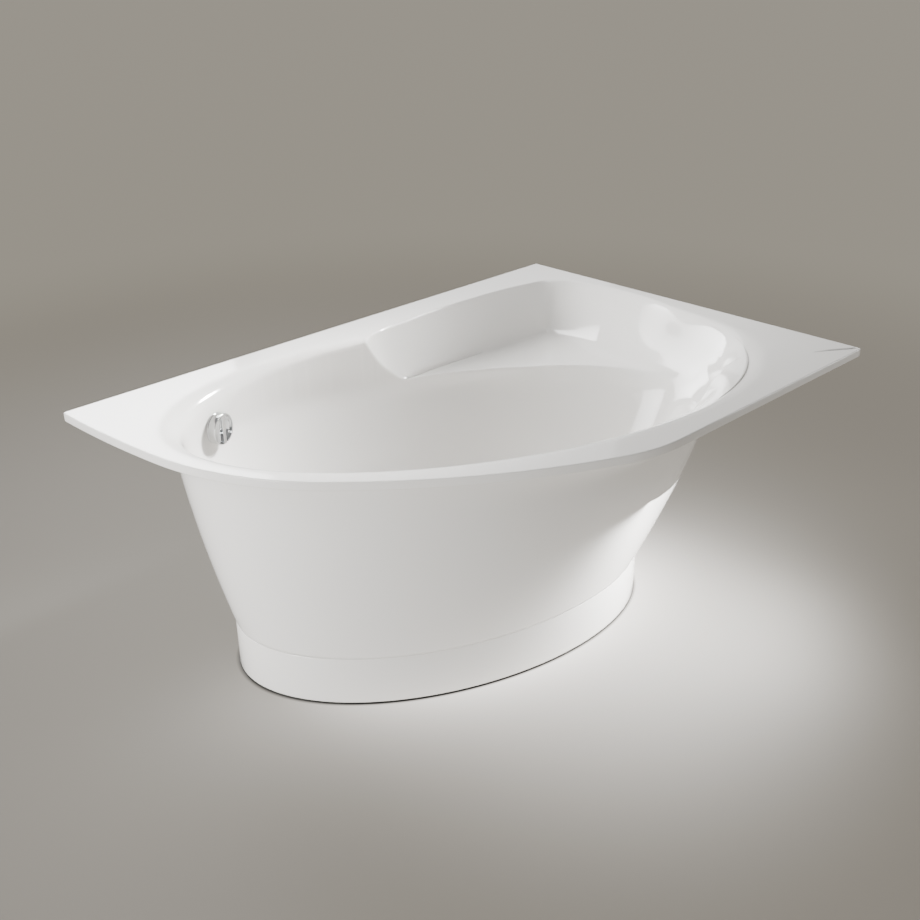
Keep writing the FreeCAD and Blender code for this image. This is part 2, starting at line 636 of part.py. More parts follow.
def overflow_body():
    """Drum behind the wall, bored for the spindle, with a spigot for the pipe below."""
    start = spigot_depth() - SPIGOT_R
    room_long = OVERFLOW_BODY_LONG - OVERFLOW_BODY_END
    drum = Part.makeCylinder(OVERFLOW_BODY_R, OVERFLOW_BODY_LONG, UP * -(start + OVERFLOW_BODY_LONG))
    drum = drum.cut(Part.makeCylinder(OVERFLOW_HOLE_R, room_long, UP * -(start + room_long)))
    bore = Part.makeCylinder(SPINDLE_R + RUN_PLAY, OVERFLOW_BODY_LONG, UP * -(start + OVERFLOW_BODY_LONG))
    drum = set_on_wall(drum.cut(bore))
    end = pipe_start()
    high = overflow_axis_back(spigot_depth()).z - end.z - OVERFLOW_HOLE_R + WALL / 2
    spigot = Part.makeCylinder(SPIGOT_R, high, end)
    reach = spigot_depth() + OVERFLOW_BODY_LONG
    drum = drum.fuse(spigot.cut(set_on_wall(Part.makeCylinder(OVERFLOW_HOLE_R, reach, UP * -reach))))
    return drum.cut(Part.makeCylinder(SPIGOT_R - ELBOW_WALL, 2 * ELBOW_DROP, end))


def spigot_depth():
    """How far behind the wall's inner face the spigot's axis lies."""
    return WALL + SEAL_THICK + SEAL_SAG + GAP + SPIGOT_R


def pipe_start():
    """Lower end of the pipe's spigot, under the overflow body."""
    return overflow_axis_back(spigot_depth()) - UP * ELBOW_DROP


def pipe_way():
    """Level direction from the drain to the overflow pipe."""
    level = pipe_start() - drain_centre()
    level.z = 0
    return level.normalize()


def bent_tube(start, end, radius, bend, wall=0.0):
    """Tube that runs straight down, turns once through an arc and runs level to its end."""
    level = V(end.x - start.x, end.y - start.y, 0)
    way = V(level).normalize()
    corner = V(start.x, start.y, end.z)
    first = corner + UP * bend
    last = corner + way * bend
    middle = corner + (UP + way) * bend - (UP + way).normalize() * bend
    path = Part.Wire([Part.LineSegment(start, first).toShape(), Part.Arc(first, middle, last).toShape(),
                      Part.LineSegment(last, end).toShape()])
    profile = Part.Wire([Part.Circle(start, UP, radius).toShape()])
    solid = path.makePipeShell([profile], True, False)
    if wall:
        bore = Part.Wire([Part.Circle(start, UP, radius - wall).toShape()])
        solid = solid.cut(path.makePipeShell([bore], True, False))
    return solid


def overflow_pipe():
    """Moulded pipe from the overflow down to the waste body, pushed over a spigot at each end."""
    start = pipe_start() + UP * ELBOW_PUSH
    return bent_tube(start, waste_inlet(), SPIGOT_R + GAP + ELBOW_WALL, ELBOW_BEND, ELBOW_WALL)


def waste_inlet():
    """Lower end of the overflow pipe, on the waste body's spigot."""
    return waste_hub() + pipe_way() * (WASTE_R + SPIGOT_LONG - ELBOW_PUSH)


def waste_hub():
    """Point on the drain's axis at the height of the waste body's spigot."""
    return trap_point(FLOOR_TOP - WASTE_INLET_DROP)


# ================================================================ waste and trap
def drain_centre():
    """Middle of the drain on the top of the tub's floor."""
    return tub_point(DRAIN_ALONG, 0, FLOOR_TOP)


def drain_flange():
    """Dished ring on the tub's floor with a throat below and a cross that guides the plug's stem."""
    seat_z = DRAIN_SEAT
    depth = THROAT_LONG
    ring = Part.makeCylinder(DRAIN_RIM_R, DRAIN_RIM_HIGH)
    edge = [e for e in ring.Edges if e.BoundBox.ZMin > DRAIN_RIM_HIGH - GAP and len(e.Vertexes) == 1]
    ring = ring.makeFillet(DRAIN_SEAT, edge)
    ring = ring.cut(Part.makeCylinder(CUP_R, DRAIN_RIM_HIGH, UP * seat_z))
    body = ring.fuse(Part.makeCylinder(THROAT_R + THROAT_WALL, depth + seat_z, UP * -depth))
    body = body.cut(Part.makeCylinder(THROAT_R, depth + DRAIN_RIM_HIGH, UP * -depth))
    bush_z = PLUG_LIFT - depth + LEVER_THICK
    cross = Part.makeCylinder(2 * STEM_R, 2 * WALL, UP * bush_z)
    for angle in (0, 90):
        rib = Part.makeBox(2 * THROAT_R + THROAT_WALL, THROAT_WALL, WALL,
                           V(-THROAT_R - THROAT_WALL / 2, -THROAT_WALL / 2, bush_z))
        rib.rotate(V(0, 0, 0), UP, angle)
        cross = cross.fuse(rib)
    body = body.fuse(cross).cut(Part.makeCylinder(STEM_R + RUN_PLAY, 4 * WALL, UP * (bush_z - WALL)))
    body.translate(drain_centre())
    return body


def plug():
    """Domed cover and its guide stem."""
    seat_z = DRAIN_SEAT + PLUG_SEAL
    disc = Part.makeCylinder(PLUG_R, PLUG_THICK, UP * seat_z)
    edge = [e for e in disc.Edges if e.BoundBox.ZMin > seat_z + PLUG_THICK - GAP and len(e.Vertexes) == 1]
    disc = disc.makeFillet(PLUG_THICK / 2, edge)
    stem = Part.makeCylinder(STEM_R, THROAT_LONG + STEM_BELOW + seat_z, UP * -(THROAT_LONG + STEM_BELOW))
    body = disc.fuse(stem)
    body.translate(drain_centre())
    return body


def plug_seal():
    ring = tube(CUP_R - PLUG_SEAL_IN, THROAT_R + DRAIN_SEAT, PLUG_SEAL, UP * DRAIN_SEAT)
    ring.translate(drain_centre())
    return ring


def waste_seal():
    ring = tube(WASTE_R, THROAT_R + THROAT_WALL + GAP, SEAL_THICK, UP * (-WALL - SEAL_THICK))
    ring.translate(drain_centre())
    return ring


def waste_body():
    """Cup under the floor around the flange's throat, with a spigot for the pipe and an outlet."""
    top = -WALL - SEAL_THICK
    base = top - WASTE_HIGH
    cup = Part.makeCylinder(WASTE_R, WASTE_HIGH, UP * base)
    outlet = Part.makeCylinder(OUTLET_R, OUTLET_LONG + WASTE_WALL, UP * (base - OUTLET_LONG))
    body = cup.fuse(outlet)
    body.translate(drain_centre())
    way = pipe_way()
    hub = waste_hub()
    body = body.fuse(Part.makeCylinder(SPIGOT_R, WASTE_R + SPIGOT_LONG, hub, way))
    room = Part.makeCylinder(WASTE_R - WASTE_WALL, WASTE_HIGH - 2 * WASTE_WALL, UP * (base + WASTE_WALL))
    neck = Part.makeCylinder(THROAT_R + THROAT_WALL + GAP, 2 * WASTE_WALL, UP * (top - WASTE_WALL))
    drop = Part.makeCylinder(OUTLET_R - WASTE_WALL, OUTLET_LONG + 2 * WASTE_WALL, UP * (base - OUTLET_LONG))
    inner = room.fuse([neck, drop])
    inner.translate(drain_centre())
    body = body.cut(inner)
    return body.cut(Part.makeCylinder(SPIGOT_R - ELBOW_WALL, WASTE_R + 2 * SPIGOT_LONG, hub, way))


def lift_lever():
    """Arm in the waste body that tips up under the plug's stem."""
    arm = Part.makeBox(LEVER_LONG, LEVER_WIDE, LEVER_THICK, V(-LEVER_LONG, -LEVER_WIDE / 2, 0))
    across = V(0, -1, 0)
    eye_end = V(-LEVER_LONG, LEVER_WIDE / 2, LEVER_THICK / 2)
    eye = Part.makeCylinder(LEVER_THICK, LEVER_WIDE, eye_end, across)
    pin = Part.makeCylinder(LEVER_PIN_R, 4 * WALL, eye_end - across * 2 * WALL, across)
    lever = arm.fuse(eye).cut(pin)
    return lever_place(lever)


def lift_pin():
    pin = Part.makeCylinder(LEVER_PIN_R - RUN_PLAY, LEVER_PIN_LONG,
                            V(-LEVER_LONG, LEVER_PIN_LONG / 2, LEVER_THICK / 2), V(0, -1, 0))
    return lever_place(pin)


def lever_place(shape):
    """Lay the lever along the pipe's direction, its tip under the plug's stem."""
    way = pipe_way()
    moved = shape.copy()
    moved.rotate(V(0, 0, 0), UP, math.degrees(math.atan2(way.y, way.x)) + 180)
    moved.translate(drain_centre() - UP * (THROAT_LONG + STEM_BELOW + GAP + LEVER_THICK))
    return moved


def trap_point(z):
    """Point on the drain's axis at a height above the floor."""
    return drain_centre() - UP * (drain_centre().z - z)


def trap_body():
    """Low cup trap with a neck above and a side outlet towards the long wall."""
    cup = Part.makeCylinder(TRAP_R, TRAP_HIGH, trap_point(TRAP_FLOOR))
    neck = Part.makeCylinder(NECK_R, NECK_HIGH, trap_point(TRAP_TOP))
    axis = trap_point(PIPE_Z)
    side = Part.makeCylinder(PIPE_R - PIPE_WALL - GAP, TRAP_R + SPIGOT_LONG, axis, V(0, 1, 0))
    body = cup.fuse([neck, side])
    room_high = TRAP_HIGH - 2 * WASTE_WALL
    room = Part.makeCylinder(TRAP_R - WASTE_WALL, room_high, trap_point(TRAP_FLOOR + WASTE_WALL))
    mouth = Part.makeCylinder(OUTLET_R + GAP, TRAP_HIGH, trap_point(TRAP_TOP - 2 * WASTE_WALL))
    bore = Part.makeCylinder(PIPE_R - 3 * PIPE_WALL, TRAP_R + SPIGOT_LONG, axis, V(0, 1, 0))
    return body.cut(room.fuse([mouth, bore]))


def trap_nut():
    """Ribbed union nut round the trap's neck."""
    base = trap_point(TRAP_TOP + TRAP_NUT_PLAY)
    nut = tube(TRAP_NUT_R, NECK_R + GAP, TRAP_NUT_HIGH, base)
    for i in range(TRAP_NUT_RIBS):
        around = plan(360 * i / TRAP_NUT_RIBS)
        rib = Part.makeCylinder(TRAP_NUT_RIB_R, TRAP_NUT_HIGH, base + around * TRAP_NUT_R)
        nut = nut.fuse(rib)
    return nut


def outlet_pipe():
    start = trap_point(PIPE_Z) + V(0, TRAP_R + WALL, 0)
    return tube(PIPE_R, PIPE_R - PIPE_WALL, PIPE_LONG, start, V(0, 1, 0))


# ================================================================ export
def main():
    os.makedirs("parts", exist_ok=True)
    shell = tub_shell()
    nodes = {
        "tub_shell": shell,
        "rim_strip_long": rim_strip_long(),
        "rim_strip_short": rim_strip_short(),
        "wall_angles": wall_angles(),
        "apron": apron(),
        "plinth": plinth(),
        "panel_screws": panel_screws(),
        "panel_brackets": panel_brackets(),
        "panel_clips": panel_clips(),
        "base_board": base_board(),
        "foot_rail_foot_end": foot_rail(RAIL_POSITIONS[0]),
        "foot_rail_head_end": foot_rail(RAIL_POSITIONS[1]),
        "foot_nuts": foot_nuts(),
        "overflow_rosette": overflow_rosette(),
        "overflow_front_seal": overflow_front_seal(shell),
        "overflow_back_seal": overflow_back_seal(shell),
        "overflow_body": overflow_body(),
        "overflow_spindle": overflow_spindle(),
        "overflow_knob": overflow_knob(),
        "overflow_pipe": overflow_pipe(),
        "drain_flange": drain_flange(),
        "drain_plug": plug(),
        "plug_seal": plug_seal(),
        "waste_seal": waste_seal(),
        "waste_body": waste_body(),
        "lift_lever": lift_lever(),
        "lift_pin": lift_pin(),
        "trap_body": trap_body(),
        "trap_nut": trap_nut(),
        "outlet_pipe": outlet_pipe(),
    }
    for index, stud in enumerate(foot_studs()):
        nodes["foot_stud_" + str(index + 1)] = stud
    for index, (along, across) in enumerate(stud_places()):
        nodes["foot_pad_" + str(index + 1)] = foot_pad(along, across)
    for name, shape in nodes.items():
        box = shape.BoundBox
        print(name, shape.isValid(), len(shape.Solids), round(shape.Volume),
              [round(v, 1) for v in (box.XMin, box.XMax, box.YMin, box.YMax, box.ZMin, box.ZMax)])
        shape.exportStep("parts/" + name + ".step")


main()
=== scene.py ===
import json
import math

import bmesh
import bpy
import numpy as np
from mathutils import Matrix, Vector


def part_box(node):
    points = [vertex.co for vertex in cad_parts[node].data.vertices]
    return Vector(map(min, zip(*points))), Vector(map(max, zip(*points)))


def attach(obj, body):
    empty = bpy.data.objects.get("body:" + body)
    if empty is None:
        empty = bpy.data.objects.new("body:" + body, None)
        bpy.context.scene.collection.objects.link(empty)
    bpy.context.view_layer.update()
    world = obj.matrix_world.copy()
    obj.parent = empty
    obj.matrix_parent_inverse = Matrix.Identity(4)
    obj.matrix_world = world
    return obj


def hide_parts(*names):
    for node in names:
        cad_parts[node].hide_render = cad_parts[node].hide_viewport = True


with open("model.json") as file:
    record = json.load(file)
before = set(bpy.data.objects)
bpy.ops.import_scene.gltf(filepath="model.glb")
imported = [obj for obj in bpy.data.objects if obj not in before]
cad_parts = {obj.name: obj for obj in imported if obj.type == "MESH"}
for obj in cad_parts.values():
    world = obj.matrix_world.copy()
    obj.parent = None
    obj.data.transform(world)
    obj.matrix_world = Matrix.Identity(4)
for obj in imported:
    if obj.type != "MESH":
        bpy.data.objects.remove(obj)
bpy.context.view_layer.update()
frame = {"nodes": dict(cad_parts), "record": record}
print("frame loaded:", len(frame["nodes"]), "nodes")


def gridMesh(name, grid, body, closeAround=True):
    # the grid is rows x columns x 3 in millimetres; two neighbouring rows and columns make one quad
    rows, columns = grid.shape[:2]
    index = np.arange(rows * columns).reshape(rows, columns)
    across = np.roll(index, -1, 0) if closeAround else index[1:]
    down = index if closeAround else index[:-1]
    quads = np.stack([down[:, :-1], across[:, :-1], across[:, 1:], down[:, 1:]], -1).reshape(-1, 4)
    return faceMesh(name, grid.reshape(-1, 3), quads, body)


def linked(name, data):
    # a new object that shows the data, in the scene
    thing = bpy.data.objects.new(name, data)
    bpy.context.scene.collection.objects.link(thing)
    return thing


def faceMesh(name, points, faces, body):
    # points are millimetres; a face that names a point twice keeps it once
    mesh = bpy.data.meshes.new(name)
    corners = [[int(i) for i in dict.fromkeys(face)] for face in faces.tolist()]
    mesh.from_pydata((points / 1000).tolist(), [], corners)
    mesh.validate()
    mesh.update()
    mesh.polygons.foreach_set("use_smooth", np.full(len(mesh.polygons), True))
    piece = linked(name, mesh)
    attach(piece, body)
    return piece


def cleanUp(piece, distance=0.00002):
    # doubles are merged and the normals turned outwards
    work = bmesh.new()
    work.from_mesh(piece.data)
    bmesh.ops.remove_doubles(work, verts=work.verts, dist=distance)
    bmesh.ops.recalc_face_normals(work, faces=work.faces)
    work.to_mesh(piece.data)
    work.free()


def applyModifiers(piece):
    # the mesh that the modifiers make takes the place of the plain one
    dressed = piece.evaluated_get(bpy.context.evaluated_depsgraph_get())
    piece.data = bpy.data.meshes.new_from_object(dressed)
    piece.modifiers.clear()


def revolved(name, profile, place, axis, body, turns=96):
    # a profile of (radius, height) pairs is carried round: (radius x cos, radius x sin, height)
    profile = np.array(profile, float)
    angle = np.linspace(0, 2 * np.pi, turns, endpoint=False)
    local = np.stack([np.outer(np.cos(angle), profile[:, 0]), np.outer(np.sin(angle), profile[:, 0]),
                      np.tile(profile[:, 1], (turns, 1))], -1)
    piece = gridMesh(name, placedAt(local, place, axis), body)
    cleanUp(piece)
    return piece


def placedAt(local, place, axis):
    # local z is laid along the axis and local y as near to upright as it can be
    axis = np.array(axis) / np.linalg.norm(axis)
    upright = np.array([0, 0, 1.0]) if abs(axis[2]) < 0.9 else np.array([0, 1.0, 0])
    up = upright - axis * upright.dot(axis)
    up /= np.linalg.norm(up)
    side = np.cross(up, axis)
    return np.array(place) + local[..., :1] * side + local[..., 1:2] * up + local[..., 2:] * axis


def roundedProfile(corners, bends, steps=6):
    # straight lines; each corner is cut by an arc that starts radius / tan(half its angle) away
    corners = np.array(corners, float)
    points = [corners[0]]
    for i in range(1, len(corners) - 1):
        before, here, after = corners[i - 1:i + 2]
        a, b = before - here, after - here
        a, b = a / np.linalg.norm(a), b / np.linalg.norm(b)
        bend = bends[i - 1]
        half = math.acos(max(-1, min(1, a.dot(b)))) / 2
        if bend <= 0 or half > math.pi / 2 - 0.01:
            points.append(here)
            continue
        reach = bend / math.tan(half)
        start, end = here + a * reach, here + b * reach
        middle = here + (a + b) / np.linalg.norm(a + b) * bend / math.sin(half)
        first, last = start - middle, end - middle
        for share in np.linspace(0, 1, steps):
            way = first * (1 - share) + last * share
            points.append(middle + way / np.linalg.norm(way) * bend)
    points.append(corners[-1])
    return np.array(points)


def splineRows(knots, values, wanted):
    # natural cubic through the rows of values, worked out from its second derivatives
    knots, values = np.array(knots, float), np.array(values, float)
    gap = np.diff(knots)
    count = len(knots)
    matrix, right = np.eye(count), np.zeros(values.shape)
    for i in range(1, count - 1):
        matrix[i, i - 1:i + 2] = gap[i - 1], 2 * (gap[i - 1] + gap[i]), gap[i]
        right[i] = 6 * ((values[i + 1] - values[i]) / gap[i] - (values[i] - values[i - 1]) / gap[i - 1])
    bend = np.linalg.solve(matrix, right)
    i = np.clip(np.searchsorted(knots, wanted) - 1, 0, count - 2)
    left, rightPart = (knots[i + 1] - wanted)[:, None], (wanted - knots[i])[:, None]
    h = gap[i][:, None]
    return ((bend[i] * left ** 3 + bend[i + 1] * rightPart ** 3) / (6 * h)
            + (values[i] / h - bend[i] * h / 6) * left + (values[i + 1] / h - bend[i + 1] * h / 6) * rightPart)


def swept(base, out, profile):
    # each (distance, height) of the profile is laid off every point: point + way out x distance, at that height
    return np.concatenate([base[:, None] + out[:, None] * profile[None, :, :1],
                           np.tile(profile[None, :, 1:], (len(base), 1, 1))], -1)


def softMin(a, b, reach):
    # the lower of the two, less (reach - difference)^2 / (4 x reach) where they are closer than the reach
    overlap = np.maximum(reach - np.abs(a - b), 0)
    return np.minimum(a, b) - overlap ** 2 / (4 * np.maximum(reach, 1e-6))


def softMax(a, b, reach):
    # the higher of the two, blended in the same way
    return -softMin(-a, -b, reach)


tub = {
    "length": 1600, "width": 1080, "height": 600, "wall": 5, "rimEdge": 20,
    # rim bends from the foot corner along the front: degrees turned and radius
    "rimBends": [(8, 2430), (36, 600), (22, 1600)], "straightFall": 1.8, "cornerBend": 5.6, "edgeBend": 2.4,
    # ovals of the basin: depth under the rim, half length, half width, middle x, y, turn
    "ovals": [(0, 741, 398, -29, -1, -22.4), (9, 714, 384, -34, 1, -22), (30, 680, 373, -46, 12, -21),
              (80, 660, 369, -56, 26, -19.6), (130, 645, 365, -63, 34, -18.8),
              (250, 600, 331, -80, 30, -18.5), (350, 552, 293, -98, 24, -18.3),
              (415, 492, 241, -110, 20, -18.2), (450, 400, 160, -120, 18, -18)],
    # seat pocket: its outline at the rim and at the seat, and the lines that close it inside the basin
    "pocketTop": [(-150, 368), (-51, 399), (37, 430), (136, 439), (254, 446), (416, 444), (545, 434),
                  (684, 406), (729, 341), (746, 263), (752, 158), (745, 55), (726, -29), (708, -121),
                  (679, -197), (635, -270), (560, -330)],
    "pocketBase": [(-60, 372), (20, 374), (76, 377), (160, 379), (270, 374), (450, 360), (634, 344), (640, 240),
                   (637, 130), (632, 40), (622, -34), (600, -130), (562, -223), (500, -290)],
    # the pocket's corner points and the reach that rounds each; points that close it well inside the basin
    "topCorner": ((684, 406), 7), "baseCorner": ((634, 344), 5),
    "pocketInside": [(300, -250), (100, -120), (-120, -60), (-220, 60), (-230, 200)],
    "seatDepth": 130, "seatFall": 0.01, "narrowest": 12,
    # directions where the bends are softer, with the soft width at each end; a bend's reach is its first
    # number, plus the second where it is soft, less the third in the crease
    "softBand": (-20, 12, 16), "floorReach": 16, "ledgeReach": (14, 70, 8), "meetReach": (16, 44, 8),
    "rimReach": (5, 12), "beyondRise": 0.34, "beyondHigh": 40,
    # the crease behind the ledge: the directions that it lies in, its depth and half width
    "creaseBand": (44, 66, 5), "creaseDepth": 14, "creaseReach": 5,
    # rays stand round the middle, with more at the pocket's corners (half a fan in degrees, and its rays) and
    # where the outline's sides are short; each is walked from its start to past the mouth in samples
    "middle": (-40, 25), "around": 576, "along": 84, "cornerFan": (2.2, 23), "shortSide": 1.5, "rayGap": 0.012,
    "samples": 1500, "start": 18.0, "pastMouth": 30, "bendSpan": 61, "bendCost": 62, "ovalSteps": 260,
    "evenWidth": 6, "evenBelow": 0.74, "rimShares": (0.2, 0.45, 0.7, 0.92), "edgeStart": 1.25, "underEvery": 2,
    "underBend": 1.2, "edgeGap": 2,
}


def rimOutline(bends, length, width, fall, corner, step=2.5):
    # arcs turn one after another, and a straight run follows; the last arc's radius is solved from
    # arc way x radius + run way x length = what is left to the head corner
    def heading(angle):
        # unit way in a direction: (cos, sin)
        return np.array([math.cos(math.radians(angle)), math.sin(math.radians(angle))])
    back, foot, head = np.array([(length, width), (-length, width), (length, -width)]) / 2
    point, angle, points = foot, -90.0, []
    last = 90 - fall - sum(turn for turn, _ in bends)
    for turn, radius in bends + [(last, None)]:
        if radius is None:
            arcWay = heading(angle + last - 90) - heading(angle - 90)
            runWay, span = heading(-fall), head - point
            radius = span[0] * runWay[1] - span[1] * runWay[0]
            radius /= arcWay[0] * runWay[1] - arcWay[1] * runWay[0]
        centre = point + heading(angle + 90) * radius
        count = max(4, int(radius * math.radians(turn) / step))
        sweep = np.linspace(angle - 90, angle - 90 + turn, count, endpoint=False)
        points.append(centre + radius * np.stack([np.cos(np.radians(sweep)), np.sin(np.radians(sweep))], -1))
        point = centre + heading(angle - 90 + turn) * radius
        angle += turn
    front = np.concatenate(points + [[point]])
    corners = np.concatenate([[back, foot], front, [head], [back]])
    bendAt = np.zeros(len(corners) - 2)
    bendAt[0] = bendAt[-1] = corner
    outline = roundedProfile(corners, bendAt, 7)
    backCorner = roundedProfile([head, back, foot], [corner], 7)[1:-1]
    return np.concatenate([backCorner, outline[1:-1]])


def polar(points, middle):
    # direction in degrees and distance of each point from the middle
    flat = points - np.array(middle)
    return np.degrees(np.arctan2(flat[:, 1], flat[:, 0])), np.hypot(flat[:, 0], flat[:, 1])


def polarRadius(points, middle, angles):
    # distance of a star-shaped outline along each direction: where the ray meets the straight side
    # between the two outline points that it passes between
    angle, radius = polar(points, middle)
    order = np.argsort(angle)
    angle, radius = angle[order], radius[order]
    angle = np.concatenate([angle - 360, angle, angle + 360])
    flat = np.tile(radius, 3)
    x, y = flat * np.cos(np.radians(angle)), flat * np.sin(np.radians(angle))
    i = np.clip(np.searchsorted(angle, angles, side="right") - 1, 0, len(angle) - 2)
    wayX, wayY = np.cos(np.radians(angles)), np.sin(np.radians(angles))
    sideX, sideY = x[i + 1] - x[i], y[i + 1] - y[i]
    return (x[i] * sideY - y[i] * sideX) / (wayX * sideY - wayY * sideX)


def curveThrough(points, corner, bend, spacing=3):
    # a spline through the points on each side of the corner point, and a parabola that rounds the corner:
    # first x (1 - share)^2 + 2 x corner x share x (1 - share) + last x share^2
    points = np.array(points, float)
    at = points.tolist().index(list(map(float, corner)))
    sides = []
    for side in (points[:at + 1], points[at:]):
        chord = np.concatenate([[0], np.cumsum(np.hypot(*np.diff(side, axis=0).T))])
        sides.append(splineRows(chord, side, np.linspace(0, chord[-1], int(chord[-1] / spacing))))
    corners = np.concatenate([sides[0], sides[1][1:]])
    meet = len(sides[0]) - 1
    reach = int(bend * 2 / spacing) + 2
    near = np.arange(meet - reach, meet + reach + 1)
    share = np.linspace(0, 1, len(near))[:, None]
    a, b, c = corners[near[0]], corners[meet], corners[near[-1]]
    corners[near] = a * (1 - share) ** 2 + 2 * b * share * (1 - share) + c * share ** 2
    return corners


def pocketRadius(s, points, corner, angles):
    # the pocket's outline is closed inside the basin and measured from the middle
    outline = np.concatenate([curveThrough(points, *corner), np.array(s["pocketInside"], float)])
    return polarRadius(outline, s["middle"], angles)


def bandAlong(angles, start, end, soft):
    # 1 between two directions, falling to 0 over a soft width on each side
    offset = (angles - (start + end) / 2 + 180) % 360 - 180
    return np.clip(((end - start) / 2 + soft - np.abs(offset)) / soft, 0, 1)


def ovalRays(s, angles):
    # along each ray, the distance at which it leaves each oval: the larger root of
    # a x distance^2 + 2 x b x distance + c = 0; beside them the ovals' depths
    table = np.array(s["ovals"], float)
    chord = np.concatenate([[0], np.cumsum(np.hypot(np.diff(table[:, 0]), np.diff(table[:, 1])))])
    ovals = splineRows(chord, table, np.linspace(0, chord[-1], s["ovalSteps"]))
    depth, halfLong, halfWide, x, y, turn = ovals.T
    way = np.radians(angles)[:, None] - np.radians(turn)
    offX, offY = s["middle"][0] - x, s["middle"][1] - y
    cosTurn, sinTurn = np.cos(np.radians(turn)), np.sin(np.radians(turn))
    u, v = offX * cosTurn + offY * sinTurn, -offX * sinTurn + offY * cosTurn
    a = (np.cos(way) / halfLong) ** 2 + (np.sin(way) / halfWide) ** 2
    b = u * np.cos(way) / halfLong ** 2 + v * np.sin(way) / halfWide ** 2
    c = (u / halfLong) ** 2 + (v / halfWide) ** 2 - 1
    return depth, (-b + np.sqrt(b * b - a * c)) / a


def tubHeights(s, angles, radius):
    # height of the tub's upper side over rays from the middle: the lower of basin, seat pocket and rim,
    # where the pocket is the higher of its seat and its wall, less a groove, depth x e^(-(distance / reach)^2)
    depth, ovalRadius = ovalRays(s, angles)
    top = pocketRadius(s, s["pocketTop"], s["topCorner"], angles)
    base = pocketRadius(s, s["pocketBase"], s["baseCorner"], angles)
    rim, seat = s["height"], s["height"] - s["seatDepth"]
    soft, crease = bandAlong(angles, *s["softBand"]), bandAlong(angles, *s["creaseBand"])
    ledgeReach, meetReach = (plain + more * soft - less * crease
                             for plain, more, less in (s["ledgeReach"], s["meetReach"]))
    rimReach = s["rimReach"][0] + s["rimReach"][1] * soft
    height = np.empty(radius.shape)
    for i, r in enumerate(radius):
        mouth = ovalRadius[i, 0]
        bowl = np.interp(r, ovalRadius[i, ::-1], (rim - depth)[::-1], right=rim + s["beyondHigh"])
        bowl = np.where(r > mouth, rim + (r - mouth) * s["beyondRise"], bowl)
        bowl = softMax(bowl, np.full(r.shape, rim - depth[-1]), s["floorReach"])
        past = r - base[i]
        wall = seat + past * (s["seatDepth"] / max(top[i] - base[i], s["narrowest"]))
        pocket = softMax(wall, seat + past * s["seatFall"], ledgeReach[i])
        pocket -= s["creaseDepth"] * crease[i] * np.exp(-(past / s["creaseReach"]) ** 2)
        both = softMin(bowl, pocket, meetReach[i])
        height[i] = softMin(both, np.full(r.shape, float(rim)), rimReach[i])
    return height, np.maximum(ovalRadius[:, 0], top)


def rayAngles(s, outline):
    # even directions, those of the outline's points on short sides, and a fan at each corner of the pocket
    short = np.abs(np.hypot(*(np.roll(outline, -1, 0) - outline).T)) < s["shortSide"]
    corners = np.array([s["topCorner"][0], s["baseCorner"][0]], float)
    half, count = s["cornerFan"]
    fans = [np.linspace(a - half, a + half, count) for a in polar(corners, s["middle"])[0]]
    even = np.linspace(-180, 180, s["around"], endpoint=False)
    angles = np.concatenate([even, polar(outline, s["middle"])[0][short], *fans])
    angles = np.unique(np.round(angles, 4))
    return angles[np.concatenate([[True], np.diff(angles) > s["rayGap"]])]


def bowlRows(s, angles):
    # points along each ray, evenly spread by length walked + bend cost x turning, which a window smooths
    spread = np.linspace(0, 1, s["samples"])
    _, mouth = tubHeights(s, angles, np.tile(spread, (len(angles), 1)))
    radius = s["start"] + (mouth + s["pastMouth"] - s["start"])[:, None] * spread
    height, _ = tubHeights(s, angles, radius)
    step = np.hypot(np.diff(radius, axis=1), np.diff(height, axis=1))
    slope = np.arctan2(np.diff(height, axis=1), np.diff(radius, axis=1))
    bend = np.abs(np.diff(slope, axis=1, prepend=slope[:, :1]))
    window = np.hanning(s["bendSpan"])
    window /= window.sum()
    turning = np.apply_along_axis(lambda row: np.convolve(row, window, "same"), 1, bend)
    walked = np.concatenate([np.zeros((len(angles), 1)), np.cumsum(step + turning * s["bendCost"], 1)], 1)
    walked /= walked[:, -1:]
    # the share of rows below the ledge is smoothed between rays, so that rows don't jump beside the pocket
    gap = (np.roll(angles, -1) - np.roll(angles, 1)) % 360
    away = (angles[:, None] - angles + 180) % 360 - 180
    weight = np.exp(-(away / s["evenWidth"]) ** 2) * gap
    below = walked[:, int(s["evenBelow"] * s["samples"])][:, None]
    even = weight @ below / weight.sum(1)[:, None]
    walked = np.where(walked <= below, walked / below * even, 1 - (1 - walked) / (1 - below) * (1 - even))
    share = np.linspace(0, 1, s["along"])
    r, z = (np.array([np.interp(share * w[-1], w, row) for w, row in zip(walked, rows)])
            for rows in (radius, height))
    way = np.stack([np.cos(np.radians(angles)), np.sin(np.radians(angles))], -1)
    return np.concatenate([np.array(s["middle"]) + r[..., None] * way[:, None], z[..., None]], -1), way


def outwards(edge):
    # the outline's own normal: the sum of the unit ways to the next and from the last point, turned a quarter
    ahead, behind = np.roll(edge, -1, 0) - edge, edge - np.roll(edge, 1, 0)
    out = ahead / np.linalg.norm(ahead, axis=1)[:, None] + behind / np.linalg.norm(behind, axis=1)[:, None]
    out = np.stack([out[:, 1], -out[:, 0]], -1)
    return out / np.linalg.norm(out, axis=1)[:, None]


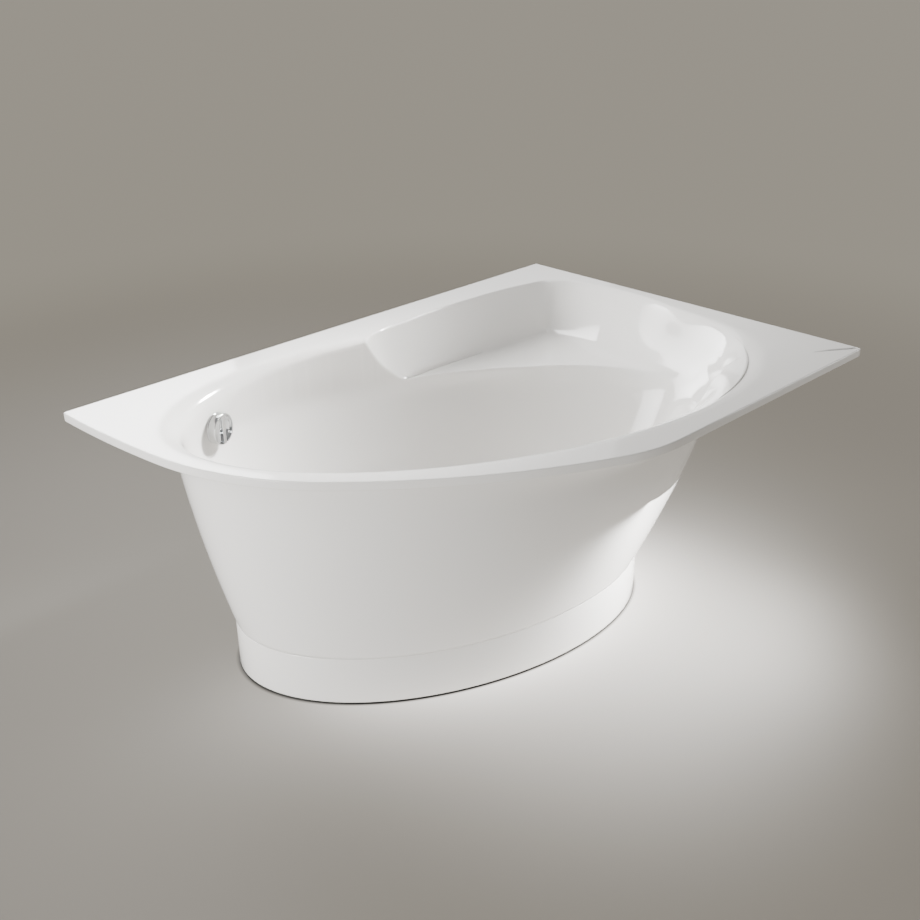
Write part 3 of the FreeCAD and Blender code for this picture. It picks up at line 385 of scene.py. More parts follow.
def tubSkin(s):
    # rays go round the middle; each ray's profile runs over floor, wall and rim, round the outer edge and
    # back under the tub, one wall below along the upper side's normal
    outline = rimOutline(s["rimBends"], s["length"], s["width"], s["straightFall"], s["cornerBend"])
    angles = rayAngles(s, outline)
    bowl, way = bowlRows(s, angles)
    edge = np.array(s["middle"]) + polarRadius(outline, s["middle"], angles)[:, None] * way
    out, bend, wall, rim = outwards(edge), s["edgeBend"], s["wall"], s["height"]
    low, start = rim - s["rimEdge"], s["edgeStart"]
    last = bowl[:, -1:]
    last[..., 2] = rim
    rimEnd = np.concatenate([edge - out * start * bend, np.full((len(angles), 1), float(rim))], 1)
    flat = np.array(s["rimShares"])[None, :, None]
    top = np.concatenate([bowl, last + (rimEnd[:, None] - last) * flat], 1)
    profile = roundedProfile([(-start * bend, rim), (0, rim), (0, low), (-wall, low),
                              (-wall, rim - wall - s["edgeGap"])], [bend, s["underBend"], s["underBend"]], 5)
    normal = np.cross(np.gradient(top, axis=1), np.roll(top, -1, 0) - np.roll(top, 1, 0))
    normal /= np.linalg.norm(normal, axis=-1)[..., None]
    normal *= np.sign(normal[..., 2:])
    under = (top - normal * wall)[:, :s["along"]:s["underEvery"]]
    underRim = top[:, s["along"]:-1].copy()
    underRim[..., 2] -= wall
    whole = np.concatenate([top, swept(edge, out, profile), np.concatenate([under, underRim], 1)[:, ::-1]], 1)
    piece = gridMesh("tubSkin", whole, "tub")
    closePoles(piece, *whole.shape[:2])
    cleanUp(piece, 0.0001)
    return piece


def closePoles(piece, rows, columns):
    # the first and last columns of a wrapped grid are each closed by a fan
    work = bmesh.new()
    work.from_mesh(piece.data)
    work.verts.ensure_lookup_table()
    rings = [[work.verts[row * columns + column] for row in range(rows)] for column in (0, columns - 1)]
    for ring in rings:
        middle = sum((v.co for v in ring), Vector()) / rows
        pole = work.verts.new(middle)
        for a, b in zip(ring, ring[1:] + ring[:1]):
            work.faces.new((a, b, pole)).smooth = True
    work.to_mesh(piece.data)
    work.free()


def drilled(piece, place, axis, radius, reach, turns=96):
    # a round hole is cut through the piece by a cylinder that reaches as far on both sides of its place
    profile = [(0, -reach), (radius, -reach), (radius, reach), (0, reach)]
    drill = revolved("drill", profile, place, axis, "tub", turns)
    cut = piece.modifiers.new("hole", "BOOLEAN")
    cut.operation, cut.solver, cut.object = "DIFFERENCE", "EXACT", drill
    applyModifiers(piece)
    bpy.data.objects.remove(drill)


# where the two fittings sit, and the radius and reach of the hole for each
overflow = {"place": (-506.6, 402.17, 510.0), "inward": (0.35511, -0.93458, 0.02124), "hole": (26, 30)}
drain = {"place": (-405.317, 110.705, 150.0), "upward": (0, 0, 1), "hole": (26, 20)}

tubPiece = tubSkin(tub)
print("tub skin:", len(tubPiece.data.polygons), "faces")
drilled(tubPiece, overflow["place"], overflow["inward"], *overflow["hole"])
drilled(tubPiece, drain["place"], drain["upward"], *drain["hole"])
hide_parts("tub_shell")
print("tub drilled:", len(tubPiece.data.polygons), "faces")


# ovals: half length, half width, middle x, y and turn in degrees; lip is what the last stretch adds
panel = {
    "foot": (531, 311, -133, 16, -18.2), "head": (712, 445, -20, 55, -16), "lip": (20, 15, 30, -28, 0),
    "footHeight": 122, "topHeight": 591, "flare": 0.45, "lipDrop": 120, "wall": 4, "flange": 20, "clear": 1.5,
    "ends": (146, 346), "around": 420, "along": 60, "probes": 4801, "footBend": 0.6, "flangeStep": 2,
    "plinthLift": 4, "plinthBends": (0.8, 2.4, 1.2, 1.2, 0.8),
}


def panelOval(s, z):
    # the plinth's oval goes over to the rim's by share x (1 + flare x (1 - share)), where the share of the way
    # up ends under the rim; the lip grows with the square of the share of its own drop
    rim, wall = tub["height"], tub["wall"]
    share = (z - s["footHeight"]) / (rim - wall - s["footHeight"])
    flare = share * (1 + s["flare"] - s["flare"] * share)
    lip = np.maximum(0, (z - rim + s["lipDrop"]) / (s["lipDrop"] - wall)) ** 2
    return [foot + flare * (head - foot) + lip * more
            for foot, head, more in zip(s["foot"], s["head"], s["lip"])]


def ovalPoints(oval, angle):
    # (half length x cos, half width x sin), turned and moved to the oval's middle
    halfLong, halfWide, x, y, turn = oval
    turn = np.radians(turn)
    u, v = halfLong * np.cos(angle), halfWide * np.sin(angle)
    return np.stack([x + u * np.cos(turn) - v * np.sin(turn), y + u * np.sin(turn) + v * np.cos(turn)], -1)


def ovalAngles(s, z, directions):
    # the oval's own angle whose point lies in each direction from the plinth's middle
    probe = np.radians(np.linspace(0, 720, s["probes"]))
    points = ovalPoints(panelOval(s, z), probe)
    seen = np.unwrap(np.arctan2(points[:, 1] - s["foot"][3], points[:, 0] - s["foot"][2]))
    wanted = np.radians(directions)
    while wanted[0] < seen[0]:
        wanted = wanted + 2 * np.pi
    return np.interp(wanted, seen, probe)


def basinInside(points, z, grow):
    # length of (u / half length, v / half width) in the basin's oval at that height, less 1: below 0 inside
    table = np.array(tub["ovals"], float)
    depth = np.clip(tub["height"] - z, 0, table[-1, 0])
    a, b, x, y, turn = [np.interp(depth, table[:, 0], table[:, i]) for i in range(1, 6)]
    offX, offY = points[..., 0] - x, points[..., 1] - y
    cosTurn, sinTurn = np.cos(np.radians(turn)), np.sin(np.radians(turn))
    u, v = offX * cosTurn + offY * sinTurn, -offX * sinTurn + offY * cosTurn
    return np.hypot(u / (a + grow), v / (b + grow)) - 1


def panelLoop(s):
    # columns stand round the plinth; each runs up the flaring ovals, to the rim or to where the basin's outer
    # side comes too near; the inner side lies one wall in, and a flange turns in at the foot
    directions = np.linspace(s["ends"][0], s["ends"][1], s["around"])
    heights = s["footHeight"] + (s["topHeight"] - s["footHeight"]) * np.linspace(0, 1, s["along"])
    outer = np.stack([np.concatenate([ovalPoints(panelOval(s, z), ovalAngles(s, z, directions)),
                                      np.full((len(directions), 1), z)], 1) for z in heights], 1)
    room = basinInside(outer[..., :2], outer[..., 2], tub["wall"] + s["clear"])
    final = s["along"] - 1
    reach = np.where(room < 0, np.arange(s["along"]), final).min(1) / final
    share = np.linspace(0, 1, s["along"])[None, :] * reach[:, None] * final
    low = np.clip(share.astype(int), 0, final - 1)
    part = (share - low)[..., None]
    rows = np.arange(len(directions))[:, None]
    outer = outer[rows, low] * (1 - part) + outer[rows, low + 1] * part
    out = np.cross(np.gradient(outer, axis=0), np.gradient(outer, axis=1))
    out /= np.linalg.norm(out, axis=-1)[..., None]
    inner = outer - out * s["wall"]
    flat = out[:, 0] * [1, 1, 0]
    flat /= np.linalg.norm(flat, axis=1)[:, None]
    rim = outer[:, 0]
    flangeIn = s["wall"] + s["flange"]
    up = [0, 0, s["wall"]]
    foot = np.stack([rim - flat * s["footBend"], rim - flat * flangeIn, rim - flat * flangeIn + up,
                     rim - flat * (s["wall"] + s["flangeStep"]) + up], 1)
    return np.concatenate([outer[:, ::-1], foot, inner[:, 1:]], 1)


def bandPiece(name, loop, body):
    # the loop of each column is closed, and each end of the band is capped by quads from one side of its loop
    # to the other
    rows, columns = loop.shape[:2]
    index = np.arange(rows * columns).reshape(rows, columns)
    here, ahead = index[:-1], index[1:]
    quads = np.stack([here, np.roll(here, -1, 1), np.roll(ahead, -1, 1), ahead], -1).reshape(-1, 4)
    piece = faceMesh(name, loop.reshape(-1, 3), quads, body)
    work = bmesh.new()
    work.from_mesh(piece.data)
    work.verts.ensure_lookup_table()
    for row in (0, rows - 1):
        ring = [work.verts[int(i)] for i in index[row]]
        for i in range(columns // 2 - 1):
            quad = (ring[i], ring[i + 1], ring[columns - 2 - i], ring[columns - 1 - i])
            if len(set(quad)) == 4:
                work.faces.new(quad)
    work.to_mesh(piece.data)
    work.free()
    cleanUp(piece)
    return piece


panelPiece = bandPiece("panelSkin", panelLoop(panel), "tub")
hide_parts("apron")


def plinthLoop(s):
    # an upright oval band with small bends at its edges and a flange turned in at the top
    directions = np.linspace(s["ends"][0], s["ends"][1], s["around"])
    angle = ovalAngles(s, s["footHeight"], directions)
    rim = ovalPoints(s["foot"], angle)
    ahead = np.gradient(rim, axis=0)
    out = np.stack([ahead[:, 1], -ahead[:, 0]], -1)
    out /= np.linalg.norm(out, axis=1)[:, None]
    top, low, wall = s["footHeight"], s["plinthLift"], s["wall"]
    flange = wall + s["flange"]
    profile = roundedProfile([(-flange, top - wall), (-flange, top), (0, top), (0, low), (-wall, low),
                              (-wall, top - wall), (-flange, top - wall)], s["plinthBends"], 4)[:-1]
    return swept(rim, out, profile)


plinthPiece = bandPiece("plinthSkin", plinthLoop(panel), "tub")
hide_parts("plinth")
print("panel and plinth:", len(panelPiece.data.polygons), len(plinthPiece.data.polygons), "faces")

# knob of the overflow, in its own frame: z runs into the basin from the wall, y up the wall
knob = {"radius": 37.5, "base": 8.0, "depth": 19, "grip": 10, "hollow": 9, "edge": 3, "bend": 1.5, "slope": 1.3,
        "dome": 0.7, "turnIn": 0.2, "slopeShares": (0, 0.12, 0.3, 0.5, 0.7, 0.88, 1), "backBend": 1.0}
rosette = {"radius": 37, "bore": 5, "base": 2.7, "thick": 5, "bends": (0.2, 0.4, 1.7, 0.3)}


def easedStep(share):
    # 0 to 1 with a level start and end: share^2 x (3 - 2 x share)
    share = np.clip(share, 0, 1)
    return share * share * (3 - 2 * share)


def knobFace(s):
    # columns across the grip; each column's rows lie on circles round the knob's axis, so that the
    # hollows' curved and straight edges both follow the grid;
    # height = top - edge's bend - hollow's share x depth - dome x (distance / radius)^2
    radius, inner = s["radius"], s["radius"] - s["edge"]
    half, eased = s["grip"] / 2, np.array(s["slopeShares"])
    rollOut, rollIn = (radius - s["bend"] * (1 - np.sin(np.linspace(first, last, 7)))
                       for first, last in ((s["turnIn"], np.pi / 2), (np.pi / 2, s["turnIn"])))
    across = np.concatenate([np.linspace(0, half, 5)[:-1], half + s["slope"] * eased,
                             np.linspace(half + s["slope"], inner - s["slope"], 16)[1:-1],
                             inner - s["slope"] + s["slope"] * eased, rollOut])
    across = np.concatenate([-across[:0:-1], across])
    circles = np.concatenate([rollIn, inner - s["slope"] + s["slope"] * eased[::-1]])
    rows = np.sqrt(np.maximum(circles[None, :] ** 2 - across[:, None] ** 2, 0))
    middle = rows[:, -1:] * np.linspace(1, 0, 9)[None, 1:]
    rows = np.concatenate([rows, middle], 1)
    rows = np.concatenate([rows, -rows[:, -2::-1]], 1)
    x = np.repeat(across[:, None], rows.shape[1], 1)
    away = np.minimum(np.hypot(x, rows), radius)
    dip = easedStep((np.abs(x) - half) / s["slope"]) * easedStep((inner - away) / s["slope"])
    over = np.clip(away - radius + s["bend"], 0, s["bend"])
    height = s["base"] + s["depth"] - (s["bend"] - np.sqrt(s["bend"] ** 2 - over ** 2))
    height = height - dip * s["hollow"] - s["dome"] * (away / radius) ** 2
    return np.stack([x, rows, height], -1)


def knobSkin(s):
    # the face's border is carried down the side, round a small bend and in to the middle of the back
    face = knobFace(s)
    border = np.concatenate([face[:, 0], face[-2:0:-1, -1]])
    plan = border[:, :2] / np.linalg.norm(border[:, :2], axis=1)[:, None]
    low, radius = s["base"], s["radius"]
    profile = roundedProfile([(radius, border[0, 2]), (radius, low), (0.01, low)], [s["backBend"]], 5)
    side = swept(np.zeros_like(plan), plan, profile)
    side[:, 0] = border
    side, face = (placedAt(part, overflow["place"], overflow["inward"]) for part in (side, face))
    piece = gridMesh("overflowKnobSkin", side, "knob")
    return joined(piece, gridMesh("knobFront", face, "knob", closeAround=False))


def joined(piece, other):
    # the second mesh is welded into the first
    work = bmesh.new()
    work.from_mesh(piece.data)
    work.from_mesh(other.data)
    work.to_mesh(piece.data)
    work.free()
    bpy.data.objects.remove(other)
    cleanUp(piece)
    return piece


def closedLoop(corners, bends, steps=5):
    # a profile that comes back to its start, halfway from the last corner to the first, so that all are bent
    corners = [tuple(c) for c in corners]
    start = tuple((np.array(corners[0]) + np.array(corners[-1])) / 2)
    return roundedProfile([start] + corners + [start], bends, steps)


def rosetteSkin(s):
    # a flat ring from bore to radius, its four edges bent, carried round the overflow's axis
    low, high, bore, radius = s["base"], s["base"] + s["thick"], s["bore"], s["radius"]
    loop = closedLoop([(bore, low), (radius, low), (radius, high), (bore, high)], s["bends"])
    return revolved("overflowRosetteSkin", loop, overflow["place"], overflow["inward"], "tub", 128)


knobPiece = knobSkin(knob)
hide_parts("overflow_knob")
rosettePiece = rosetteSkin(rosette)
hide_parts("overflow_rosette")
print("knob and rosette:", len(knobPiece.data.polygons), len(rosettePiece.data.polygons), "faces")

# drain: flange with its guide cross, and the plug; heights from the tub's floor
flange = {"radius": 35, "high": 3, "dish": 31, "seat": 1, "throat": 20, "wall": 3, "long": 32,
          "ringBends": (0.4, 0.4, 0.8, 0.2, 1, 0.5, 0.5, 0.8),
          "bush": 8, "bushBore": 4.05, "bushLow": -18, "bushHigh": 10, "bushBends": (0.4, 0.6, 0.6, 0.4),
          "ribWide": 3, "ribHigh": 5, "ribBite": 0.6, "ribBend": 0.6}
plug = {"radius": 29.5, "low": 2.5, "thick": 4, "bend": 2, "dome": 1.1, "stem": 4, "below": 35, "chamfer": 1,
        "hub": 0.02, "rings": 14}


def roundedBar(name, start, end, wide, high, bend, body):
    # a rounded rectangle carried straight from start to end, each end closed by a fan
    start, end = np.array(start, float), np.array(end, float)
    way = (end - start) / np.linalg.norm(end - start)
    side = np.cross(way, [0, 0, 1.0])
    loop = closedLoop([(-wide / 2, 0), (wide / 2, 0), (wide / 2, high), (-wide / 2, high)], [bend] * 4, 4)[:-1]
    section = loop[:, :1] * side + loop[:, 1:] * np.array([0, 0, 1.0])
    middle = section.mean(0)
    rows = np.stack([np.tile(middle, (len(loop), 1)) + start, section + start, section + end,
                     np.tile(middle, (len(loop), 1)) + end], 1)
    piece = gridMesh(name, rows, body)
    cleanUp(piece)
    return piece


def flangeSkin(s, place):
    # the ring's profile is carried round the drain's axis; a bush stands on the axis, on four ribs
    throat, outside, foot, dish, radius = s["throat"], s["throat"] + s["wall"], -s["long"], s["dish"], s["radius"]
    ring = closedLoop([(throat, foot), (outside, foot), (outside, 0), (radius, 0), (radius, s["high"]),
                       (dish, s["high"]), (dish, s["seat"]), (throat, s["seat"])], s["ringBends"])
    piece = revolved("drainFlangeSkin", ring, place, drain["upward"], "tub", 128)
    low, high, bore, bush = s["bushLow"], s["bushLow"] + s["bushHigh"], s["bushBore"], s["bush"]
    bush = closedLoop([(bore, low), (bush, low), (bush, high), (bore, high)], s["bushBends"])
    parts = [revolved("guideBush", bush, place, drain["upward"], "tub", 48)]
    for angle in (0, 90, 180, 270):
        way = np.array([math.cos(math.radians(angle)), math.sin(math.radians(angle)), 0])
        middle = np.array(place) + [0, 0, low]
        start, end = middle + way * (s["bush"] - s["ribBite"]), middle + way * (s["throat"] + s["ribBite"])
        parts.append(roundedBar("guideRib", start, end, s["ribWide"], s["ribHigh"], s["ribBend"], "tub"))
    for part in parts:
        piece = joined(piece, part)
    return piece


def plugSkin(s, place):
    # a domed cover, top + dome x (1 - (distance / rounded radius)^2), its edge rolled over, and the guide
    # stem with a small chamfer at its foot
    high, domed = s["low"] + s["thick"], s["radius"] - s["bend"]
    dome = [(r, high + s["dome"] * (1 - (r / domed) ** 2)) for r in np.linspace(s["hub"], domed, s["rings"])]
    stem, foot = s["stem"], -s["below"]
    edge = roundedProfile([dome[-1], (s["radius"], high), (s["radius"], s["low"]), (stem, s["low"]),
                           (stem, foot + s["chamfer"]), (stem - s["chamfer"], foot), (s["hub"], foot)],
                          [s["bend"], 0.4, 0.8, 0, 0], 6)
    return revolved("drainPlugSkin", np.concatenate([dome[:-1], edge]), place, drain["upward"], "plug", 128)


flangePiece = flangeSkin(flange, drain["place"])
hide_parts("drain_flange")
plugPiece = plugSkin(plug, drain["place"])
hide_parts("drain_plug")
print("flange and plug:", len(flangePiece.data.polygons), len(plugPiece.data.polygons), "faces")

# levelling studs: a thread wound round each CAD stud's own axis
stud = {"radius": 5, "pitch": 1.75, "depth": 0.55, "around": 20, "perTurn": 5, "endLong": 1.2, "endDrop": 0.8}


def studSkin(s, node, name):
    # radius = outer radius - depth x (1 - tooth) - end drop, where the tooth is a cosine wave of
    # height / pitch less the share of a turn
    low, high = (np.array(corner) * 1000 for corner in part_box(node))
    middle = (low + high) / 2
    long = high[2] - low[2]
    angle = np.linspace(0, 2 * np.pi, s["around"], endpoint=False)
    heights = np.linspace(0, long, int(long / s["pitch"] * s["perTurn"]))
    phase = (heights[None, :] / s["pitch"] - angle[:, None] / (2 * np.pi)) % 1
    tooth = 0.5 - 0.5 * np.cos(2 * np.pi * phase)
    ends = np.clip(np.minimum(heights, long - heights) / s["endLong"], 0, 1)
    radius = s["radius"] - s["depth"] * (1 - tooth) - s["endDrop"] * (1 - ends)[None, :]
    rows = np.stack([np.cos(angle)[:, None] * radius, np.sin(angle)[:, None] * radius,
                     np.tile(heights, (len(angle), 1))], -1)
    caps = rows[:, [0, -1]] * [0, 0, 1]
    rows = np.concatenate([caps[:, :1], rows, caps[:, 1:]], 1) + [middle[0], middle[1], low[2]]
    piece = gridMesh(name, rows, "tub")
    cleanUp(piece)
    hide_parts(node)
    return piece


studPieces = [studSkin(stud, "foot_stud_" + str(i), "footStudSkin" + str(i)) for i in (1, 2, 3, 4)]
print("studs:", sum(len(piece.data.polygons) for piece in studPieces), "faces")


class Value:
    # a socket that takes part in Python expressions; each operator adds a Math node
    def __init__(self, paint, socket):
        self.paint, self.socket = paint, socket

    def math(self, operation, first, second):
        # the operation on first and second, as one node
        return self.paint.add("Math", {"operation": operation}, {0: first, 1: second})

    def __add__(self, other):
        return self.math("ADD", self, other)

    def __sub__(self, other):
        return self.math("SUBTRACT", self, other)

    def __rsub__(self, other):
        return self.math("SUBTRACT", other, self)

    def __mul__(self, other):
        return self.math("MULTIPLY", self, other)

    def __truediv__(self, other):
        return self.math("DIVIDE", self, other)

    def __pow__(self, other):
        return self.math("POWER", self, other)

    __radd__, __rmul__ = __add__, __mul__

    def clamped(self):
        # the smaller of 1 and the larger of 0 and the value
        return self.math("MINIMUM", self.math("MAXIMUM", self, 0.0), 1.0)


class Paint:
    # one material and its nodes; fixed names more of the shader's inputs, with _ for a space
    def __init__(self, name, colour, roughness, **fixed):
        self.material = bpy.data.materials.new(name)
        self.material.use_nodes = True
        self.tree = self.material.node_tree
        self.shader = self.tree.nodes["Principled BSDF"]
        self.material.diffuse_color = (*colour, 1)
        self.set("Base Color", (*colour, 1))
        self.set("Roughness", roughness)
        for socket, value in fixed.items():
            self.set(socket.replace("_", " "), value)
        self.place = self.add("TexCoord", {}, {}, "Object")

    def add(self, kind, settings, inputs, output=0):
        # a node with its settings and inputs, and one of its outputs as a value
        node = self.tree.nodes.new("ShaderNode" + kind)
        for key, value in settings.items():
            if key == "stops":
                ramp = node.color_ramp
                while len(ramp.elements) < len(value):
                    ramp.elements.new(0.5)
                for element, (position, colour) in zip(ramp.elements, value):
                    element.position, element.color = position, (*colour, 1)
            else:
                setattr(node, key, value)
        for key, value in inputs.items():
            socket = node.inputs[key]
            if isinstance(value, Value):
                self.tree.links.new(value.socket, socket)
            else:
                socket.default_value = value
        return Value(self, node.outputs[output])

    def set(self, name, value):
        # an input of the shader is linked to a value, or given a number
        if isinstance(value, Value):
            self.tree.links.new(value.socket, self.shader.inputs[name])
        else:
            self.shader.inputs[name].default_value = value

    def noise(self, scale, detail=2.0, roughness=0.5, distortion=0.0):
        # soft noise of 0 to 1 over the object's own coordinates
        return self.add("TexNoise", {}, {"Vector": self.place, "Scale": scale, "Detail": detail,
                                         "Roughness": roughness, "Distortion": distortion})

    def blend(self, share, first, second):
        # first x (1 - share) + second x share
        return self.add("Mix", {"data_type": "RGBA"}, {0: share, 6: (*first, 1), 7: (*second, 1)}, 2)

    def bump(self, height, strength, distance):
        # the normal is tilted as if the surface rose by height x distance
        self.set("Normal", self.add("Bump", {}, {"Strength": strength, "Distance": distance, "Height": height}))


def acrylicFinish():
    # glossy white under a clear coat; roughness = base + fine noise + haze, and a slow wave in the surface
    paint = Paint("sanitaryAcrylic", (0.862, 0.845, 0.815), 0.07,
                  Coat_Weight=0.35, Coat_Roughness=0.03, IOR=1.49)
    haze = paint.noise(3.5, 3.0)
    fine = paint.noise(60.0, 2.0)
    paint.set("Base Color", paint.blend(haze, (0.870, 0.852, 0.820), (0.852, 0.833, 0.800)))
    paint.set("Roughness", 0.055 + fine * 0.03 + haze * 0.02)
    paint.bump(paint.noise(14.0, 1.0), 0.03, 0.002)
    return paint.material


def glassFibreFinish():
    # resin over chopped strands: colour from clouds and strands, relief from strands and the cells between them
    paint = Paint("glassFibreBacking", (0.74, 0.72, 0.64), 0.6)
    strands = paint.add("TexVoronoi", {"feature": "DISTANCE_TO_EDGE"}, {"Vector": paint.place, "Scale": 130.0})
    cloud = paint.noise(9.0, 5.0)
    hair = paint.noise(180.0, 4.0, 0.7, 2.5)
    mask = (hair * 1.6 - 0.35).clamped()
    share = (cloud * 0.6 + mask * 0.4).clamped()
    paint.set("Base Color", paint.blend(share, (0.66, 0.63, 0.53), (0.80, 0.79, 0.73)))
    paint.set("Roughness", 0.45 + mask * 0.3)
    paint.bump(mask * 0.7 + strands, 0.6, 0.0012)
    return paint.material


def chromeFinish():
    # mirror metal; roughness = base + smears
    paint = Paint("polishedChrome", (0.80, 0.81, 0.82), 0.05, Metallic=1.0)
    smear = paint.noise(55.0, 3.0)
    paint.set("Roughness", 0.03 + smear * 0.05)
    return paint.material


def galvanisedFinish():
    # crystals of zinc, each with its own grey, under a dull noise
    paint = Paint("galvanisedSteel", (0.60, 0.61, 0.62), 0.4, Metallic=0.85)
    spangle = paint.add("TexVoronoi", {"feature": "F1"}, {"Vector": paint.place, "Scale": 90.0}, "Color")
    grey = paint.add("RGBToBW", {}, {0: spangle})
    dull = paint.noise(30.0, 4.0)
    share = (grey * 0.7 + dull * 0.3).clamped()
    paint.set("Base Color", paint.blend(share, (0.50, 0.51, 0.53), (0.72, 0.73, 0.74)))
    paint.set("Roughness", 0.28 + grey * 0.2 + dull * 0.1)
    paint.bump(dull, 0.1, 0.0005)
    return paint.material


def zincFinish():
    # plated metal, mottled in colour and roughness by one noise
    paint = Paint("zincPlatedSteel", (0.66, 0.66, 0.63), 0.3, Metallic=1.0)
    mottle = paint.noise(120.0, 4.0)
    paint.set("Base Color", paint.blend(mottle, (0.58, 0.58, 0.56), (0.72, 0.72, 0.68)))
    paint.set("Roughness", 0.22 + mottle * 0.2)
    return paint.material


def chipboardFinish():
    # chips, each with its own grey, and fine dust go through a ramp of three browns
    paint = Paint("particleBoard", (0.62, 0.49, 0.32), 0.8)
    chips = paint.add("TexVoronoi", {"feature": "F1"}, {"Vector": paint.place, "Scale": 240.0}, "Color")
    grey = paint.add("RGBToBW", {}, {0: chips})
    fine = paint.noise(420.0, 3.0, 0.6)
    share = (grey * 0.75 + fine * 0.35).clamped()
    browns = [(0.15, (0.34, 0.23, 0.12)), (0.45, (0.60, 0.46, 0.28)), (0.8, (0.78, 0.66, 0.47))]
    paint.set("Base Color", paint.add("ValToRGB", {"stops": browns}, {0: share}))
    paint.bump(share, 0.4, 0.0006)
    return paint.material


def mouldedFinish(name, colour, roughness, bumpSize=0.0003, grain=260.0):
    # one colour, darker in slow clouds; roughness and relief follow a fine grain
    paint = Paint(name, colour, roughness)
    grainy = paint.noise(grain, 3.0)
    shade = tuple(c * 0.88 for c in colour)
    paint.set("Base Color", paint.blend(paint.noise(20.0, 3.0), colour, shade))
    paint.set("Roughness", roughness - 0.06 + grainy * 0.12)
    paint.bump(grainy, 0.35, bumpSize)
    return paint.material


acrylic, chrome = acrylicFinish(), chromeFinish()
finishes = {
    "acrylic": acrylic, "chrome": chrome, "galvanised": galvanisedFinish(), "zinc": zincFinish(),
    "fibreboard": chipboardFinish(), "steel": zincFinish(),
    "foot_plastic": mouldedFinish("blackNylon", (0.035, 0.035, 0.037), 0.5),
    "seal": mouldedFinish("blackRubber", (0.02, 0.02, 0.02), 0.62, 0.0004, 420.0),
    "fitting_plastic": mouldedFinish("greyPolypropylene", (0.70, 0.70, 0.68), 0.38),
}
slots = {entry["node"]: entry["material_slot"] for entry in frame["record"]["subparts"]}
for node, piece in frame["nodes"].items():
    for slot in piece.material_slots:
        slot.material = finishes[slots[node]]
tubPiece.data.materials.clear()
for material, pieces in ((acrylic, (tubPiece, panelPiece, plinthPiece)), (glassFibreFinish(), (tubPiece,)),
                         (chrome, (knobPiece, rosettePiece, flangePiece, plugPiece)),
                         (finishes["zinc"], studPieces)):
    for piece in pieces:
        piece.data.materials.append(material)


def paintUnderside(piece, s, material):
    # faces that look down take the backing, but for the rim's own top and the foot of its turned-down edge
    mesh = piece.data
    count = len(mesh.polygons)
    normal, centre = np.empty(count * 3), np.empty(count * 3)
    mesh.polygons.foreach_get("normal", normal)
    mesh.polygons.foreach_get("center", centre)
    normal, centre = normal.reshape(-1, 3), centre.reshape(-1, 3) * 1000
    down, high, low = normal[:, 2], centre[:, 2], s["height"] - s["rimEdge"]
    under = (down < -0.02) & (high < s["height"] - 2) & (high > 0)
    edge = (high < low + 1.5) & (high > low - 0.1) & (down < -0.2)
    mesh.polygons.foreach_set("material_index", np.where(under & ~edge, material, 0).astype(np.int32))


paintUnderside(tubPiece, tub, 1)
print("finishes:", len(bpy.data.materials))

studio = {
    "floorColour": (0.047, 0.044, 0.039), "floorHalf": 70.0,
    "glowNear": (0.217, 0.196, 0.163), "glowFar": (0.312, 0.286, 0.236), "nearReach": 1.6, "farReach": 3.8,
    # the painted pool of light round the plinth's oval, the painted spot of light in front of it and the painted
    # shadow line where they meet
    "poolOval": (0.531, 0.311), "poolPlace": (-0.133, 0.016), "poolTurn": -18.2, "poolAim": -0.56,
    "poolPower": 1.214, "poolFade": 0.313, "poolStrength": 2.2, "poolColour": (1.03, 0.985, 0.93),
    "spotPlace": (-0.072, -0.395, 0), "spotReach": 0.418, "spotStrength": 0.584, "paintedShadowLine": 0.02,
    "worldColour": (1.0, 0.985, 0.96), "worldStrength": 0.30,
    # soft boxes: name, place, aim, size, power, spread in degrees
    "lights": [("leftLow", (-3.2, -0.4, 0.6), (0, 0, 0.35), 1.0, 17, 70),
               ("leftBack", (-2.6, 2.4, 1.8), (0, 0, 0.45), 2.0, 27, 70),
               ("rightBack", (2.2, 2.4, 2.2), (0, 0, 0.5), 2.0, 2.5, 70),
               ("headBack", (0.4, 3.0, 2.4), (0, 0, 0.5), 2.0, 41, 70),
               ("footWall", (1.7, -0.1, 2.1), (-0.62, 0.25, 0.42), 0.5, 8.5, 22),
               ("rimRight", (1.0, 0, 2.6), (0.72, 0, 0.6), 0.6, 1.2, 30),
               ("rightFront", (2.6, -1.9, 0.6), (0.1, 0, 0.35), 1.0, 3, 60),
               ("underRim", (0.32, -0.52, 0.30), (0.28, -0.46, 0), 0.45, 16, 150)],
    "eye": (-1.7993, -1.6446, 1.5910), "forward": (0.6439, 0.6232, -0.4438), "lens": 43.456, "sensor": 36,
    "farthest": 200,
}


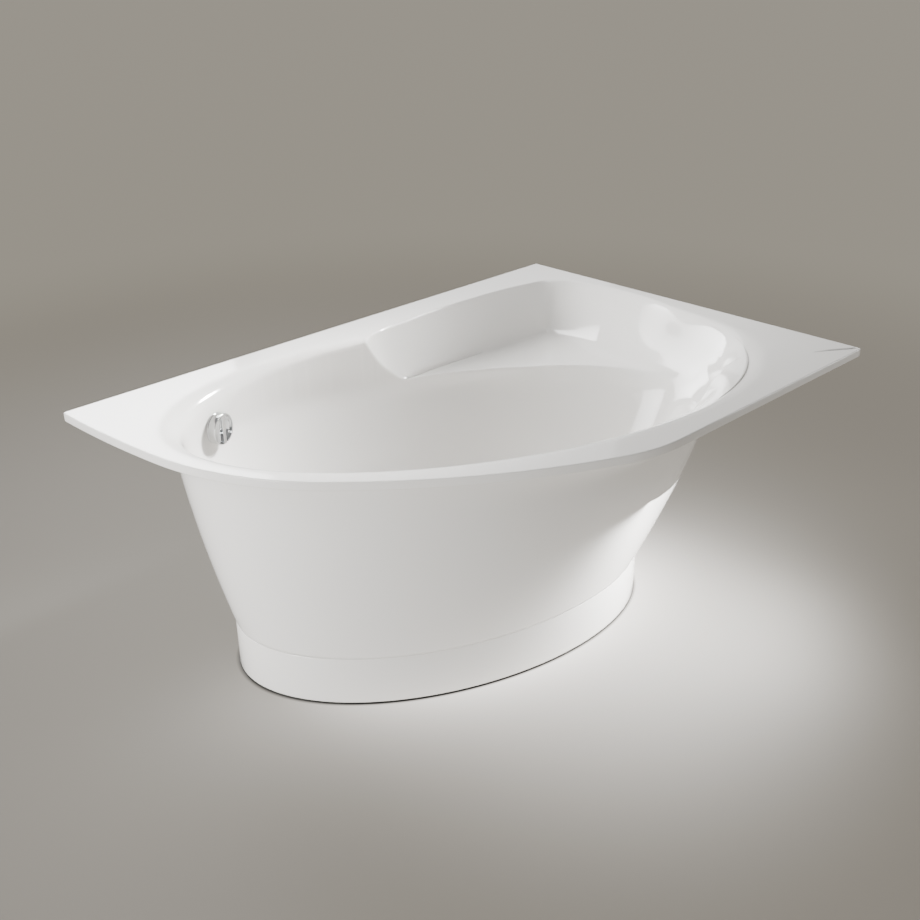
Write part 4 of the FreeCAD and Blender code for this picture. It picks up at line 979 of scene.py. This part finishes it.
def floorPaper(s):
    # the floor's emission is painted light, a base that grows paler with the distance from the tub; round the
    # plinth a painted pool of light is added, strength x e^(-(r - 1) / fade) x ((1 + cos(angle from its aim)) /
    # 2)^power, where r is 1 on the plinth's oval, and in front of it a painted spot of light, strength x
    # e^(-(distance / reach)^2)
    # painted light: the glow, pool and spot below are the floor's own emission, not lamps
    paint = Paint("studioPaperPaintedLight", s["floorColour"], 0.75, Emission_Strength=1.0)
    away = paint.add("VectorMath", {"operation": "LENGTH"}, {0: paint.place}, 1)
    share = paint.add("MapRange", {"interpolation_type": "SMOOTHSTEP"},
                      {0: away, 1: s["nearReach"], 2: s["farReach"]})
    oval = paint.add("Mapping", {"vector_type": "TEXTURE"},
                     {"Vector": paint.place, "Location": (*s["poolPlace"], 0),
                      "Rotation": (0, 0, math.radians(s["poolTurn"])), "Scale": (*s["poolOval"], 1)})
    r = paint.add("VectorMath", {"operation": "LENGTH"}, {0: oval}, 1)
    aim = (math.cos(s["poolAim"]), math.sin(s["poolAim"]), 0)
    side = paint.add("VectorMath", {"operation": "DOT_PRODUCT"}, {0: oval, 1: aim}, 1) / r
    fade = paint.add("Math", {"operation": "EXPONENT"}, {0: (1.0 - r) / s["poolFade"]})
    pool = fade * (0.5 + side * 0.5).clamped() ** s["poolPower"] * s["poolStrength"]
    beside = paint.add("VectorMath", {"operation": "DISTANCE"}, {0: paint.place, 1: s["spotPlace"]}, 1)
    beside = beside / s["spotReach"]
    spot = paint.add("Math", {"operation": "EXPONENT"}, {0: 0.0 - beside * beside}) * s["spotStrength"]
    glow = paint.add("VectorMath", {"operation": "MULTIPLY_ADD"},
                     {0: pool + spot, 1: s["poolColour"], 2: paint.blend(share, s["glowNear"], s["glowFar"])})
    # no painted light where the plinth stands, and a painted shadow in a thin line round it: (r - 1) / line, kept
    # between 0 and 1
    beyond = ((r - 1.0) / s["paintedShadowLine"]).clamped()
    paint.set("Emission Color", paint.add("VectorMath", {"operation": "MULTIPLY"}, {0: glow, 1: beyond}))
    return paint.material


def makeStudio(s):
    # paper floor with painted light, even light from all round, the soft boxes and the camera that was solved
    # from the photo
    half = s["floorHalf"]
    mesh = bpy.data.meshes.new("floor")
    corners = [(x * half, y * half, 0) for x, y in ((-1, -1), (1, -1), (1, 1), (-1, 1))]
    mesh.from_pydata(corners, [], [(0, 1, 2, 3)])
    floor = linked("floor", mesh)
    mesh.materials.append(floorPaper(s))
    world = bpy.data.worlds.new("studio")
    world.use_nodes = True
    world.node_tree.nodes["Background"].inputs[0].default_value = (*s["worldColour"], 1)
    world.node_tree.nodes["Background"].inputs[1].default_value = s["worldStrength"]
    bpy.context.scene.world = world
    for name, place, aim, size, power, spread in s["lights"]:
        lamp = bpy.data.lights.new(name, "AREA")
        lamp.spread = math.radians(spread)
        lamp.shape, lamp.size, lamp.energy = "SQUARE", size, power
        light = linked(name, lamp)
        light.location = place
        light.rotation_euler = (Vector(aim) - Vector(place)).to_track_quat("-Z", "Y").to_euler()
        light.visible_camera = False
    view = bpy.data.cameras.new("photoView")
    view.lens, view.sensor_width, view.clip_end = s["lens"], s["sensor"], s["farthest"]
    camera = linked("photoView", view)
    camera.location = s["eye"]
    camera.rotation_euler = Vector(s["forward"]).to_track_quat("-Z", "Y").to_euler()
    bpy.context.scene.camera = camera


makeStudio(studio)
print("studio ready")
